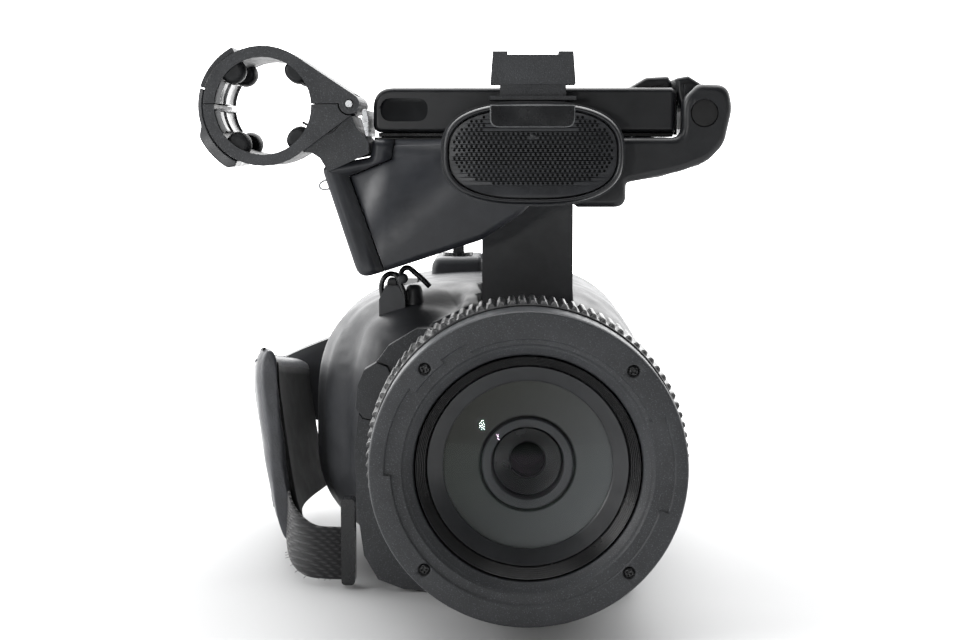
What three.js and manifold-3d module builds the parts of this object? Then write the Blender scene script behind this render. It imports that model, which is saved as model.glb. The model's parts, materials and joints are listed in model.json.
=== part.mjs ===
// A handheld professional camcorder as an assembly of separate pieces: body shells, a large zoom lens with
// three rings, a top handle that carries a microphone, an audio input box, a clamp for a second microphone
// and a folding screen, a hand strap on the grip side, a viewfinder and a battery.
// Frame: +X to the viewer's right when facing the lens, +Y towards the back of the camera (the lens looks
// along -Y), +Z up. The origin is the centre of the base plate's underside. Millimetres.
import * as THREE from "three";
import { mergeVertices } from "three/addons/utils/BufferGeometryUtils.js";
import Module from "manifold-3d";

const wasm = await Module();
wasm.setup();

// ---------------------------------------------------------------- driving dimensions
const GAP = 0.3; // clearance between pieces that touch
const WALL = 3; // shell thickness
const HALF = 300; // larger than the camera, for cutting it in two

// body
const BODY_FRONT = -80;
const BODY_BACK = 85;
const BODY_BOTTOM = 3.2;
const BODY_MIDDLE_Z = 50; // height where the sides are widest
const GRIP_LEFT = 78; // how far the grip reaches to -X
const BODY_RIGHT = 48;
const BODY_TOP = 108;
const BEZEL_THICKNESS = 7;
const REAR_COVER = 5; // thickness
const BEZEL_Y = BODY_FRONT - BEZEL_THICKNESS;

// lens
const LENS_Z = 56; // height of the lens axis
const FRONT_Y = -155; // front face of the front ring
const FILTER_R = 36; // filter thread
const FRONT_RING_WIDTH = 14.6; // from the filter thread to the ring's outer edge
const FRONT_RING_LENGTH = 16;
const BARREL_WALL = 3.5;
const FOCUS_WALL = 11.1; // from the barrel to the outside of each ring
const FOCUS_LENGTH = 24;
const ZOOM_WALL = 8;
const ZOOM_LENGTH = 12.5;
const IRIS_WALL = 6;
const IRIS_LENGTH = 10;
const RING_SPACING = 1.2; // between one ring and the next
const RUNNING_GAP = 0.4; // between a ring and the tube
const FRONT_RING_R = FILTER_R + FRONT_RING_WIDTH;
const BARREL_BORE = FILTER_R + 2;
const BARREL_R = BARREL_BORE + BARREL_WALL; // fixed tube that the rings turn on

// base plate
const BASE_WIDTH = 56;
const BASE_LENGTH = 130;
const BASE_HEIGHT = 2.9;
const TRIPOD_HOLE_R = 3.3;
const TRIPOD_HOLE_Y = -30;

// handle
const HANDLE_RISE = 52.4; // from the body's top to the deck under the folded screen
const HEAD_HEIGHT = 23.4; // of the block at the front of the handle
const POST_LEFT = -15.2;
const POST_RIGHT = 17;
const POST_FRONT = -75;
const POST_DEPTH = 30;
const BAR_WIDTH = 30;
const BAR_HEIGHT = 22;
const BAR_START = -32;
const BAR_END = 78;
const REAR_LEG = 26; // length of the handle's rear leg along Y
const POST_BOTTOM = BODY_TOP - 10;
const HEAD_TOP = BODY_TOP + HANDLE_RISE;
const HEAD_BOTTOM = HEAD_TOP - HEAD_HEIGHT;
const BAR_BOTTOM = HEAD_TOP - 10.4;
const BAR_TOP = BAR_BOTTOM + BAR_HEIGHT;

// microphone at the front of the handle
const MIC_X = 2;
const MIC_Z = HEAD_TOP - 5.2;
const MIC_HALF_WIDTH = 30;
const MIC_HALF_HEIGHT = 16.7;
const MIC_FRONT = -117;
const MIC_BACK = -103.3;
const MIC_RIM = 2; // width of the rim round the grille

// accessory shoe
const SHOE_X = 2;
const SHOE_WIDTH = 28.4;
const SHOE_FRONT = -112;
const SHOE_BACK = -97.7;
const SHOE_HEIGHT = 10.8;
const SHOE_SLOT = 20; // width of the channel under the lips
const SHOE_MOUTH = 17; // width between the lips
const SHOE_WALL = 1.6; // front stop, a little lower than the lips
const SHOE_STOP_DROP = 1.1;
const SHOE_BOTTOM = MIC_Z + MIC_HALF_HEIGHT + 6.4;
const SHOE_TOP = SHOE_BOTTOM + SHOE_HEIGHT;

// folding screen
const PANEL_LEFT = -52.2;
const PANEL_RIGHT = 53.4;
const PANEL_FRONT = -97;
const PANEL_BACK = -33;
const PANEL_HEIGHT = 15.9;
const PANEL_BOTTOM = HEAD_TOP + 0.5;
const PANEL_TOP = PANEL_BOTTOM + PANEL_HEIGHT;
const HINGE_X = PANEL_RIGHT + 6.5;
const HINGE_Z = PANEL_BOTTOM + 9;
const HINGE_PIN_R = 2.2;
const ARM_FRONT = -103;
const ARM_TIP_R = 9.2;

// audio input box
const XLR_FRONT = -103;
const XLR_BACK = -40;
const XLR_TOP = HEAD_TOP - 0.3;
const JACK_R = 9;

// clamp for a second microphone
const CLAMP_BORE_R = 16.3;
const CLAMP_WALL = 3.8;
const CLAMP_REACH = 12.8; // from the bore's edge to the hinge pin
const CLAMP_FRONT = -107;
const CLAMP_DEPTH = 42;
const CLAMP_PIN_X = -59.6;
const CLAMP_EAR_R = 3.4;
const CLAMP_PIN_R = 1.2;
const CLAMP_R = CLAMP_BORE_R + CLAMP_WALL;
const CLAMP_X = CLAMP_PIN_X - CLAMP_REACH - CLAMP_BORE_R;
const CLAMP_Z = XLR_TOP + 11.1;
const CLAMP_PIN_Z = CLAMP_Z + 0.7;

// hand strap
const HAND_SPACE = 12; // from the grip to the middle of the pad
const PAD_X = -(GRIP_LEFT + HAND_SPACE);
const PAD_FRONT = -60;
const PAD_BACK = 52;
const WEBBING_THICKNESS = 2;
const WEBBING_WIDTH = 26;
const WEBBING_BOTTOM = 4;

// viewfinder and battery
const FINDER_X = 0;
const FINDER_Z = HEAD_TOP - 8.4;
const FINDER_FRONT = BAR_END + 4;
const FINDER_LENGTH = 58;
const BATTERY_DEPTH = 28;
const BATTERY_WIDTH = 54;
const BATTERY_HEIGHT = 58;
const BATTERY_BOTTOM = 12;

// smoothness
const ROUND = 56; // segments of the large rings
const SMALL_ROUND = 20; // segments of pins, knobs and buttons
const SECTION_POINTS = 36; // points round a body section

// ---------------------------------------------------------------- solids from three.js shapes
// A closed three.js geometry as a manifold solid with its faces pointing out.
function solid(geometry) {
  const bare = new THREE.BufferGeometry();
  const flat = geometry.index ? geometry.toNonIndexed() : geometry;
  bare.setAttribute("position", flat.getAttribute("position"));
  const merged = mergeVertices(bare, 1e-4);
  const faces = new Uint32Array(merged.index.array);
  const made = () =>
    new wasm.Manifold(
      new wasm.Mesh({ numProp: 3, vertProperties: merged.attributes.position.array, triVerts: faces }),
    );
  const first = made();
  if (first.volume() > 0) return first;
  for (let i = 0; i < faces.length; i += 3) [faces[i + 1], faces[i + 2]] = [faces[i + 2], faces[i + 1]];
  return made();
}

function geometryOf(body) {
  const mesh = body.getMesh();
  const position = new Float32Array(mesh.numVert * 3);
  for (let i = 0; i < mesh.numVert; i++) {
    const at = i * mesh.numProp;
    position.set(mesh.vertProperties.subarray(at, at + 3), i * 3);
  }
  const geometry = new THREE.BufferGeometry();
  geometry.setAttribute("position", new THREE.BufferAttribute(position, 3));
  geometry.setIndex(new THREE.BufferAttribute(new Uint32Array(mesh.triVerts), 1));
  geometry.computeVertexNormals();
  return geometry;
}

const join = (first, ...others) => others.reduce((sum, one) => sum.add(one), first);
const cut = (first, ...others) => others.reduce((rest, one) => rest.subtract(one), first);

// An outline of [a, b] points as a three.js shape, with an optional hole.
function shapeOf(points, hole) {
  const shape = new THREE.Shape(points.map(([a, b]) => new THREE.Vector2(a, b)));
  if (hole) shape.holes.push(new THREE.Path(hole.map(([a, b]) => new THREE.Vector2(a, b))));
  return shape;
}

// An outline in X and Z, extruded along Y from y0 to y1.
function alongY(points, y0, y1, hole) {
  const geometry = new THREE.ExtrudeGeometry(shapeOf(points, hole), { depth: y1 - y0, bevelEnabled: false });
  return solid(geometry.rotateX(Math.PI / 2).translate(0, y1, 0));
}

// An outline in X and Y, extruded along Z.
function alongZ(points, z0, z1, hole) {
  const geometry = new THREE.ExtrudeGeometry(shapeOf(points, hole), { depth: z1 - z0, bevelEnabled: false });
  return solid(geometry.translate(0, 0, z0));
}

// An outline in Y and Z, extruded along X.
function alongX(points, x0, x1) {
  const geometry = new THREE.ExtrudeGeometry(shapeOf(points), { depth: x1 - x0, bevelEnabled: false });
  const turn = new THREE.Matrix4().makeBasis(
    new THREE.Vector3(0, 1, 0),
    new THREE.Vector3(0, 0, 1),
    new THREE.Vector3(1, 0, 0),
  );
  return solid(geometry.applyMatrix4(turn).translate(x0, 0, 0));
}

function box(x0, x1, y0, y1, z0, z1) {
  const geometry = new THREE.BoxGeometry(x1 - x0, y1 - y0, z1 - z0);
  return solid(geometry.translate((x0 + x1) / 2, (y0 + y1) / 2, (z0 + z1) / 2));
}

// Outlines --------------------------------------------------------
function circle(cx, cz, r, count = SMALL_ROUND) {
  return Array.from({ length: count }, (_, i) => {
    const t = (2 * Math.PI * i) / count;
    return [cx + r * Math.cos(t), cz + r * Math.sin(t)];
  });
}

function roundedBox2(a0, b0, a1, b1, r, steps = 4) {
  const corners = [[a1 - r, b1 - r, 0], [a0 + r, b1 - r, 90], [a0 + r, b0 + r, 180], [a1 - r, b0 + r, 270]];
  return corners.flatMap(([ca, cb, start]) =>
    Array.from({ length: steps + 1 }, (_, i) => {
      const t = THREE.MathUtils.degToRad(start + (90 * i) / steps);
      return [ca + r * Math.cos(t), cb + r * Math.sin(t)];
    }),
  );
}

// A band between two radii over a range of angles in degrees.
function arcBand(cx, cz, r0, r1, from, to, steps = 14) {
  const points = [];
  for (let i = 0; i <= steps; i++) {
    const t = THREE.MathUtils.degToRad(from + ((to - from) * i) / steps);
    points.push([cx + r1 * Math.cos(t), cz + r1 * Math.sin(t)]);
  }
  for (let i = steps; i >= 0; i--) {
    const t = THREE.MathUtils.degToRad(from + ((to - from) * i) / steps);
    points.push([cx + r0 * Math.cos(t), cz + r0 * Math.sin(t)]);
  }
  return points;
}

// The outline of two circles with a belt round them: a big one at the left, a small one at the right.
function teardrop(cx, cz, r, px, pz, pr, steps = 28) {
  const along = Math.atan2(pz - cz, px - cx);
  const half = Math.acos((r - pr) / Math.hypot(px - cx, pz - cz));
  const points = [];
  for (let i = 0; i <= steps; i++) {
    const t = along + half + ((2 * Math.PI - 2 * half) * i) / steps;
    points.push([cx + r * Math.cos(t), cz + r * Math.sin(t)]);
  }
  for (let i = 0; i <= 8; i++) {
    const t = along - half + (2 * half * i) / 8;
    points.push([px + pr * Math.cos(t), pz + pr * Math.sin(t)]);
  }
  return points;
}

// A ring or disc about the lens axis. Its profile of [radius, y] points closes on itself or on the axis.
function aboutLens(profile, count = ROUND) {
  const points = profile.map(([r, y]) => new THREE.Vector2(r, y));
  if (profile[0][0] > 0) points.push(points[0].clone());
  return solid(new THREE.LatheGeometry(points, count).translate(0, 0, LENS_Z));
}

const tube = (r0, r1, y0, y1, count) => aboutLens([[r0, y0], [r1, y0], [r1, y1], [r0, y1]], count);
const disc = (r, y0, y1, count) => aboutLens([[0, y0], [r, y0], [r, y1], [0, y1]], count);

function pinY(x, z, r, y0, y1, count = SMALL_ROUND) {
  return alongY(circle(x, z, r, count), y0, y1);
}

function pinX(y, z, r, x0, x1, count = SMALL_ROUND) {
  return alongX(circle(y, z, r, count), x0, x1);
}

function pinZ(x, y, r, z0, z1, count = SMALL_ROUND) {
  return alongZ(circle(x, y, r, count), z0, z1);
}

// A closed skin through sections that all have the same number of [x, y, z] points.
function loft(sections) {
  const count = sections[0].length;
  const points = sections.flat();
  const faces = [];
  for (let s = 0; s + 1 < sections.length; s++) {
    for (let i = 0; i < count; i++) {
      const a = s * count + i;
      const b = s * count + ((i + 1) % count);
      faces.push(a, b, a + count, b, b + count, a + count);
    }
  }
  for (const [s, flip] of [[0, false], [sections.length - 1, true]]) {
    const centre = [0, 1, 2].map((k) => sections[s].reduce((sum, p) => sum + p[k], 0) / count);
    points.push(centre);
    for (let i = 0; i < count; i++) {
      const a = s * count + i;
      const b = s * count + ((i + 1) % count);
      faces.push(...(flip ? [a, b, points.length - 1] : [b, a, points.length - 1]));
    }
  }
  const geometry = new THREE.BufferGeometry();
  geometry.setAttribute("position", new THREE.Float32BufferAttribute(points.flat(), 3));
  geometry.setIndex(faces);
  return solid(geometry);
}

// ---------------------------------------------------------------- materials
const material = (color, roughness, metalness = 0) =>
  new THREE.MeshStandardMaterial({ color, roughness, metalness });
const MATTE = material(0x1d1d1f, 0.62);
const SATIN = material(0x111112, 0.35);
const RUBBER = material(0x0d0d0e, 0.85);
const FABRIC = material(0x1a1b1d, 0.95);
const STEEL = material(0xb8b8ba, 0.3, 1);
const GLASS = material(0x0c1418, 0.05);
const BOARD = material(0x14532d, 0.6);
const RED = material(0xa01818, 0.4);

const camcorder = new THREE.Group();
function node(name, body, look) {
  const mesh = new THREE.Mesh(geometryOf(body), look);
  mesh.name = name;
  camcorder.add(mesh);
}

// ---------------------------------------------------------------- body shells
// Stations along the body: share of its length, then the shares of the grip, the right side and the height.
const STATIONS = [
  [0, 0.731, 0.917, 0.935],
  [0.085, 0.808, 0.958, 0.963],
  [0.182, 0.949, 0.979, 0.986],
  [0.255, 1, 1, 0.995],
  [0.455, 1, 1, 1],
  [0.667, 0.949, 1, 1],
  [0.861, 0.846, 0.958, 0.981],
  [1, 0.769, 0.917, 0.944],
];
// How square the corners of a section are.
const POWER_TOP_LEFT = 3.5;
const POWER_TOP_RIGHT = 2.6;
const POWER_BOTTOM = 2.8;

// One section of the body, offset outwards by grow (inwards when it is negative).
function bodySection(y, left, right, top, grow) {
  const points = [];
  for (let i = 0; i < SECTION_POINTS; i++) {
    const t = (2 * Math.PI * (i + 0.5)) / SECTION_POINTS;
    const c = Math.cos(t);
    const s = Math.sin(t);
    const powerTop = c > 0 ? POWER_TOP_RIGHT : POWER_TOP_LEFT;
    const power = 2 / (s > 0 ? powerTop : POWER_BOTTOM);
    const reach = (c > 0 ? right : left) + grow;
    const height = (s > 0 ? top - BODY_MIDDLE_Z : BODY_MIDDLE_Z - BODY_BOTTOM) + grow;
    const x = Math.sign(c) * reach * Math.abs(c) ** power;
    const z = BODY_MIDDLE_Z + Math.sign(s) * height * Math.abs(s) ** power;
    points.push([x, y, z]);
  }
  return points;
}

function bodyLoft(grow, front = BODY_FRONT, back = BODY_BACK) {
  const length = BODY_BACK - BODY_FRONT;
  const sections = STATIONS.map(([share, left, right, top], i) => {
    const first = i === 0;
    const last = i === STATIONS.length - 1;
    const y = first ? front : last ? back : BODY_FRONT + share * length;
    return bodySection(y, left * GRIP_LEFT, right * BODY_RIGHT, top * BODY_TOP, grow);
  });
  return loft(sections);
}

const bodyOuter = bodyLoft(0);
const bodyClear = bodyLoft(GAP, BODY_FRONT - GAP, BODY_BACK + GAP);
const bodyInner = bodyLoft(-WALL, BODY_FRONT + WALL, BODY_BACK + 1);

// The raised block on the top left, with a mode dial on it.
const HUMP_LEFT = -36;
const HUMP_RIGHT = -15.5;
const HUMP_FRONT = 4;
const HUMP_BACK = 44;
const HUMP_TOP = BODY_TOP + 5.4;
const DIAL_X = -26;
const DIAL_Y = 20;
const DIAL_R = 6.2;
const humpSide = [
  [HUMP_FRONT, BODY_TOP - 8],
  [HUMP_FRONT, HUMP_TOP - 3],
  [HUMP_FRONT + 2, HUMP_TOP],
  [HUMP_BACK - 8, HUMP_TOP],
  [HUMP_BACK, BODY_TOP - 8],
];
const hump = alongX(humpSide, HUMP_LEFT, HUMP_RIGHT);

// Openings in the shells for the pieces that pass through them.
const post = { x0: POST_LEFT, x1: POST_RIGHT, y0: POST_FRONT, y1: POST_FRONT + POST_DEPTH };
const postPocket = box(post.x0 - GAP, post.x1 + GAP, post.y0 - GAP, post.y1 + GAP, POST_BOTTOM, BODY_TOP + 9);
const lensOpening = disc(BARREL_R + GAP, BEZEL_Y - 2, BODY_FRONT + WALL + 2);

const ROCKER = { x: -46, y: -12, width: 11, length: 30, bottom: BODY_TOP - 13, top: BODY_TOP - 0.8 };
const rockerPocket = box(
  ROCKER.x - ROCKER.width / 2 - GAP,
  ROCKER.x + ROCKER.width / 2 + GAP,
  ROCKER.y - ROCKER.length / 2 - 1,
  ROCKER.y + ROCKER.length / 2 + 1,
  ROCKER.bottom - 3,
  BODY_TOP + 5,
);

const shell = cut(join(bodyOuter, hump), bodyInner, lensOpening, postPocket, rockerPocket);
node("left_housing", shell.intersect(box(-HALF, -GAP / 2, -HALF, HALF, -HALF, HALF)), MATTE);
node("right_housing", shell.intersect(box(GAP / 2, HALF, -HALF, HALF, -HALF, HALF)), MATTE);

// ---------------------------------------------------------------- front bezel with its tab
const BEZEL_LEFT = -(GRIP_LEFT - 18);
const BEZEL_RIGHT = BODY_RIGHT - 2;
const BEZEL_TOP = BODY_TOP - 14;
const BEZEL_BOTTOM = 0.2;
const bezelOutline = [
  [BEZEL_LEFT + 22, BEZEL_TOP],
  [BEZEL_LEFT + 12, BEZEL_TOP - 6],
  [BEZEL_LEFT + 6, BEZEL_TOP - 14],
  [BEZEL_LEFT + 2, BEZEL_TOP - 25],
  [BEZEL_LEFT, 52],
  [BEZEL_LEFT + 0.6, 30],
  [BEZEL_LEFT + 3, 13],
  [BEZEL_LEFT + 8, 4.4],
  [BEZEL_LEFT + 17, 1],
  [BEZEL_LEFT + 30, BEZEL_BOTTOM],
  [BEZEL_RIGHT - 16, BEZEL_BOTTOM],
  [BEZEL_RIGHT - 7, 2.5],
  [BEZEL_RIGHT - 2, 12],
  [BEZEL_RIGHT, 40],
  [BEZEL_RIGHT - 1, BEZEL_TOP - 22],
  [BEZEL_RIGHT - 8, BEZEL_TOP - 6],
  [BEZEL_RIGHT - 16, BEZEL_TOP],
];
const BEZEL_HOLE_R = BARREL_R + 0.8;
const TAB_RIGHT = BEZEL_LEFT + 13.5;
const TAB_BOTTOM = BEZEL_TOP - 32.4;
const tabOutline = [
  [TAB_RIGHT - 13, TAB_BOTTOM + 4.4],
  [TAB_RIGHT - 10.5, TAB_BOTTOM + 1],
  [TAB_RIGHT - 5.5, TAB_BOTTOM],
  [TAB_RIGHT, TAB_BOTTOM + 0.8],
  [TAB_RIGHT, TAB_BOTTOM + 14.4],
  [TAB_RIGHT - 2, TAB_BOTTOM + 19],
  [TAB_RIGHT - 5.9, TAB_BOTTOM + 20.4],
  [TAB_RIGHT - 10, TAB_BOTTOM + 18],
  [TAB_RIGHT - 12.3, TAB_BOTTOM + 12.4],
];
const TAB_SLOT_SHARE = 1.06; // the slot round the tab against the tab
const scaledFrom = ([cx, cz], share, points) =>
  points.map(([x, z]) => [cx + (x - cx) * share, cz + (z - cz) * share]);
const tabCentre = [TAB_RIGHT - 6.5, TAB_BOTTOM + 10.4];
const bezelBack = BODY_FRONT - GAP;
const bezel = cut(
  alongY(bezelOutline, BEZEL_Y, bezelBack),
  disc(BEZEL_HOLE_R, BEZEL_Y - 2, bezelBack + 2),
  alongY(scaledFrom(tabCentre, TAB_SLOT_SHARE, tabOutline), BEZEL_Y - 2, bezelBack + 2),
);
const largestOf = (body) => body.decompose().sort((a, b) => b.volume() - a.volume())[0];
node("front_bezel", largestOf(bezel), MATTE);
const tab = alongY(tabOutline, BEZEL_Y - 1, bezelBack);
node("bezel_tab", cut(tab, disc(BEZEL_HOLE_R, BEZEL_Y - 2, bezelBack + 2)), MATTE);

// ---------------------------------------------------------------- base plate
const PLATE_SHIFT = -5; // the plate's middle lies a little to the front of the body's middle
const plateOutline = roundedBox2(
  -BASE_WIDTH / 2,
  PLATE_SHIFT - BASE_LENGTH / 2,
  BASE_WIDTH / 2,
  PLATE_SHIFT + BASE_LENGTH / 2,
  8,
);
node("base_plate", alongZ(plateOutline, 0, BASE_HEIGHT, circle(0, TRIPOD_HOLE_Y, TRIPOD_HOLE_R)), STEEL);

// ---------------------------------------------------------------- rear cover, battery and the controls on it
const rearFront = BODY_BACK + GAP;
const rearBack = rearFront + REAR_COVER;
const lastStation = STATIONS[STATIONS.length - 1];
const rearOutline = bodySection(
  0,
  lastStation[1] * GRIP_LEFT,
  lastStation[2] * BODY_RIGHT,
  lastStation[3] * BODY_TOP,
  0,
).map(([x, , z]) => [x, z]);
const RECORD = { x: -40, z: 84, r: 6.5, travel: 1.5, height: 3 };
const BATTERY_TRAVEL = 12;
const RELEASE_Z = BATTERY_BOTTOM + BATTERY_HEIGHT + BATTERY_TRAVEL + 6;
const RELEASE = { x: 0, z: RELEASE_Z, width: 10, height: 7, out: 2.5 };
const DOOR = { x0: BATTERY_WIDTH / 2 + 3.5, z0: 24, z1: 74, thickness: 3 };
const recordHole = pinY(RECORD.x, RECORD.z, RECORD.r + GAP, rearFront - 1, rearBack + 1);
const releaseHole = box(
  RELEASE.x - RELEASE.width / 2 - 4,
  RELEASE.x + RELEASE.width / 2 + GAP,
  rearFront - 1,
  rearBack + 1,
  RELEASE.z - RELEASE.height / 2 - GAP,
  RELEASE.z + RELEASE.height / 2 + GAP,
);
const doorRecess = box(DOOR.x0, HALF, rearBack - DOOR.thickness, rearBack + 1, DOOR.z0, DOOR.z1);
const rearPlate = alongY(rearOutline, rearFront, rearBack);
node("rear_cover", cut(rearPlate, recordHole, releaseHole, doorRecess), MATTE);
const recordFront = rearFront + RECORD.travel + 0.5;
node("record_button", pinY(RECORD.x, RECORD.z, RECORD.r, recordFront, rearBack + RECORD.height), RED);
node(
  "battery_release",
  box(
    RELEASE.x - RELEASE.width / 2,
    RELEASE.x + RELEASE.width / 2,
    rearFront + 0.5,
    rearBack + RELEASE.out,
    RELEASE.z - RELEASE.height / 2,
    RELEASE.z + RELEASE.height / 2,
  ),
  SATIN,
);
const batteryFront = rearBack + GAP;
const batteryOutline = roundedBox2(
  -BATTERY_WIDTH / 2,
  batteryFront,
  BATTERY_WIDTH / 2,
  batteryFront + BATTERY_DEPTH,
  4,
);
node("battery", alongZ(batteryOutline, BATTERY_BOTTOM, BATTERY_BOTTOM + BATTERY_HEIGHT), SATIN);
const rearRight = lastStation[2] * BODY_RIGHT;
const doorOutline = roundedBox2(DOOR.x0 + GAP, DOOR.z0 + GAP, rearRight - 3.5, DOOR.z1 - GAP, 1.5);
node("media_door", alongY(doorOutline, rearBack - DOOR.thickness + GAP, rearBack + 0.6), SATIN);

// ---------------------------------------------------------------- inside the body
const BOARD_X = 26;
const BOARD_SHARE = 0.69; // its top, as a share of the height from the body's middle to its top
const boardTop = BODY_MIDDLE_Z + (BODY_TOP - BODY_MIDDLE_Z) * BOARD_SHARE;
const boardOutline = [[-10, 22], [BODY_BACK - 7, 22], [BODY_BACK - 7, boardTop], [-10, boardTop]];
node("main_board", alongX(boardOutline, BOARD_X, BOARD_X + 1.6), BOARD);
const SENSOR_HALF = 22;
const BARREL_BACK = -60;
const SENSOR_DEPTH = 20;
const sensorOutline = roundedBox2(
  -SENSOR_HALF,
  LENS_Z - SENSOR_HALF,
  SENSOR_HALF,
  LENS_Z + SENSOR_HALF,
  2,
);
node("sensor_block", alongY(sensorOutline, BARREL_BACK + GAP, BARREL_BACK + SENSOR_DEPTH), SATIN);

// ---------------------------------------------------------------- lens
const ringBack = FRONT_Y + FRONT_RING_LENGTH;
const barrelFront = ringBack + GAP;
node(
  "front_ring",
  aboutLens([
    [FILTER_R + GAP, FRONT_Y + 1.2],
    [FRONT_RING_R - 9, FRONT_Y + 1.2],
    [FRONT_RING_R - 9, FRONT_Y],
    [FRONT_RING_R - 1, FRONT_Y],
    [FRONT_RING_R, FRONT_Y + 1],
    [FRONT_RING_R, ringBack],
    [FILTER_R + GAP, ringBack],
  ]),
  MATTE,
);
const GLASS_R = FILTER_R - 4;
const GLASS_FRONT = FRONT_Y + 9;
node(
  "filter_ring",
  aboutLens([
    [FILTER_R - 1.6, FRONT_Y + 1.4],
    [FILTER_R, FRONT_Y + 1.4],
    [FILTER_R, ringBack],
    [GLASS_R + GAP - 4, ringBack],
    [GLASS_R + GAP - 4, GLASS_FRONT + 5.5],
    [GLASS_R + GAP, GLASS_FRONT + 5.5],
    [GLASS_R + GAP, GLASS_FRONT - 1],
    [FILTER_R - 1.6, GLASS_FRONT - 1],
  ]),
  SATIN,
);
node(
  "front_element",
  aboutLens([
    [0, GLASS_FRONT - 2.5],
    [12, GLASS_FRONT - 2.2],
    [22, GLASS_FRONT - 1.2],
    [GLASS_R, GLASS_FRONT + 0.8],
    [GLASS_R, GLASS_FRONT + 5],
    [0, GLASS_FRONT + 5],
  ]),
  GLASS,
);
const BARREL_TAIL_R = BARREL_R - 2.5; // the part inside the body
const BARREL_TAIL_BORE = BARREL_TAIL_R - 6;
const BAFFLE_BACK = barrelFront + 44;
node(
  "lens_barrel",
  aboutLens([
    [BARREL_BORE, barrelFront],
    [BARREL_R, barrelFront],
    [BARREL_R, BODY_FRONT + 2],
    [BARREL_TAIL_R, BODY_FRONT + 2],
    [BARREL_TAIL_R, BARREL_BACK],
    [BARREL_TAIL_BORE, BARREL_BACK],
    [BARREL_TAIL_BORE, BAFFLE_BACK + 4],
    [BARREL_BORE, BAFFLE_BACK + 4],
  ]),
  MATTE,
);
const CELL_R = 15.5;
node(
  "inner_barrel",
  aboutLens([
    [GLASS_R - 5, barrelFront + GAP],
    [BARREL_BORE - GAP, barrelFront + GAP],
    [BARREL_BORE - GAP, BAFFLE_BACK],
    [CELL_R - 4, BAFFLE_BACK],
    [CELL_R - 4, BAFFLE_BACK - 3],
    [CELL_R + GAP, BAFFLE_BACK - 3],
    [CELL_R + GAP, BAFFLE_BACK - 12],
    [GLASS_R - 8, BAFFLE_BACK - 14],
  ]),
  SATIN,
);
node(
  "inner_element",
  aboutLens([
    [0, BAFFLE_BACK - 11],
    [CELL_R * 0.6, BAFFLE_BACK - 9.6],
    [CELL_R, BAFFLE_BACK - 7],
    [CELL_R, BAFFLE_BACK - 3 - GAP],
    [0, BAFFLE_BACK - 3 - GAP],
  ], 32),
  GLASS,
);
let ringStart = barrelFront + 0.7;
for (const [name, wall, length] of [
  ["focus_ring", FOCUS_WALL, FOCUS_LENGTH],
  ["zoom_ring", ZOOM_WALL, ZOOM_LENGTH],
  ["iris_ring", IRIS_WALL, IRIS_LENGTH],
]) {
  node(name, tube(BARREL_R + RUNNING_GAP, BARREL_R + wall, ringStart, ringStart + length), RUBBER);
  ringStart += length + RING_SPACING;
}

// ---------------------------------------------------------------- handle
node("handle_post", box(post.x0, post.x1, post.y0, post.y1, POST_BOTTOM + GAP, HEAD_BOTTOM), MATTE);
const barX0 = MIC_X - 1.1 - BAR_WIDTH / 2;
const barX1 = barX0 + BAR_WIDTH;
const barSide = [
  [post.y0, HEAD_BOTTOM + GAP],
  [post.y1, HEAD_BOTTOM + GAP],
  [BAR_START - 4, BAR_BOTTOM],
  [BAR_END - REAR_LEG - 6, BAR_BOTTOM],
  [BAR_END - REAR_LEG, BAR_BOTTOM - 6],
  [BAR_END - REAR_LEG, BODY_TOP - 12],
  [BAR_END, BODY_TOP - 12],
  [BAR_END, BAR_TOP - 4],
  [BAR_END - 4, BAR_TOP],
  [BAR_START + 3, BAR_TOP],
  [BAR_START, BAR_TOP - 4],
  [BAR_START, HEAD_TOP],
  [post.y0, HEAD_TOP],
];
const TOP_RECORD = { x: MIC_X - 1.1, y: -12, r: 5 };
const TOP_ROCKER = { y: 12, width: 9, length: 24 };
const buttonPocket = pinZ(TOP_RECORD.x, TOP_RECORD.y, TOP_RECORD.r + GAP, BAR_TOP - 6, BAR_TOP + 5);
const topRockerPocket = box(
  TOP_RECORD.x - TOP_ROCKER.width / 2 - GAP,
  TOP_RECORD.x + TOP_ROCKER.width / 2 + GAP,
  TOP_ROCKER.y - TOP_ROCKER.length / 2 - 1,
  TOP_ROCKER.y + TOP_ROCKER.length / 2 + 1,
  BAR_TOP - 6,
  BAR_TOP + 5,
);
node("handle_bar", cut(alongX(barSide, barX0, barX1), bodyClear, buttonPocket, topRockerPocket), MATTE);
node("handle_record_button", pinZ(TOP_RECORD.x, TOP_RECORD.y, TOP_RECORD.r, BAR_TOP - 4, BAR_TOP + 1.2), RED);

// A rocker with a shallow arched top on a pivot below it.
function rocker(x0, x1, y, length, bottom, top) {
  const half = length / 2;
  const side = [
    [y - half, bottom + 3],
    [y - 4, bottom],
    [y + 4, bottom],
    [y + half, bottom + 3],
    [y + half, top - 2],
    [y + half - 3, top],
    [y - half + 3, top],
    [y - half, top - 2],
  ];
  return alongX(side, x0, x1);
}
node(
  "handle_zoom_rocker",
  rocker(
    TOP_RECORD.x - TOP_ROCKER.width / 2,
    TOP_RECORD.x + TOP_ROCKER.width / 2,
    TOP_ROCKER.y,
    TOP_ROCKER.length,
    BAR_TOP - 5.5,
    BAR_TOP + 2,
  ),
  SATIN,
);
node(
  "grip_zoom_rocker",
  rocker(
    ROCKER.x - ROCKER.width / 2,
    ROCKER.x + ROCKER.width / 2,
    ROCKER.y,
    ROCKER.length,
    ROCKER.bottom,
    ROCKER.top,
  ),
  SATIN,
);
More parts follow.
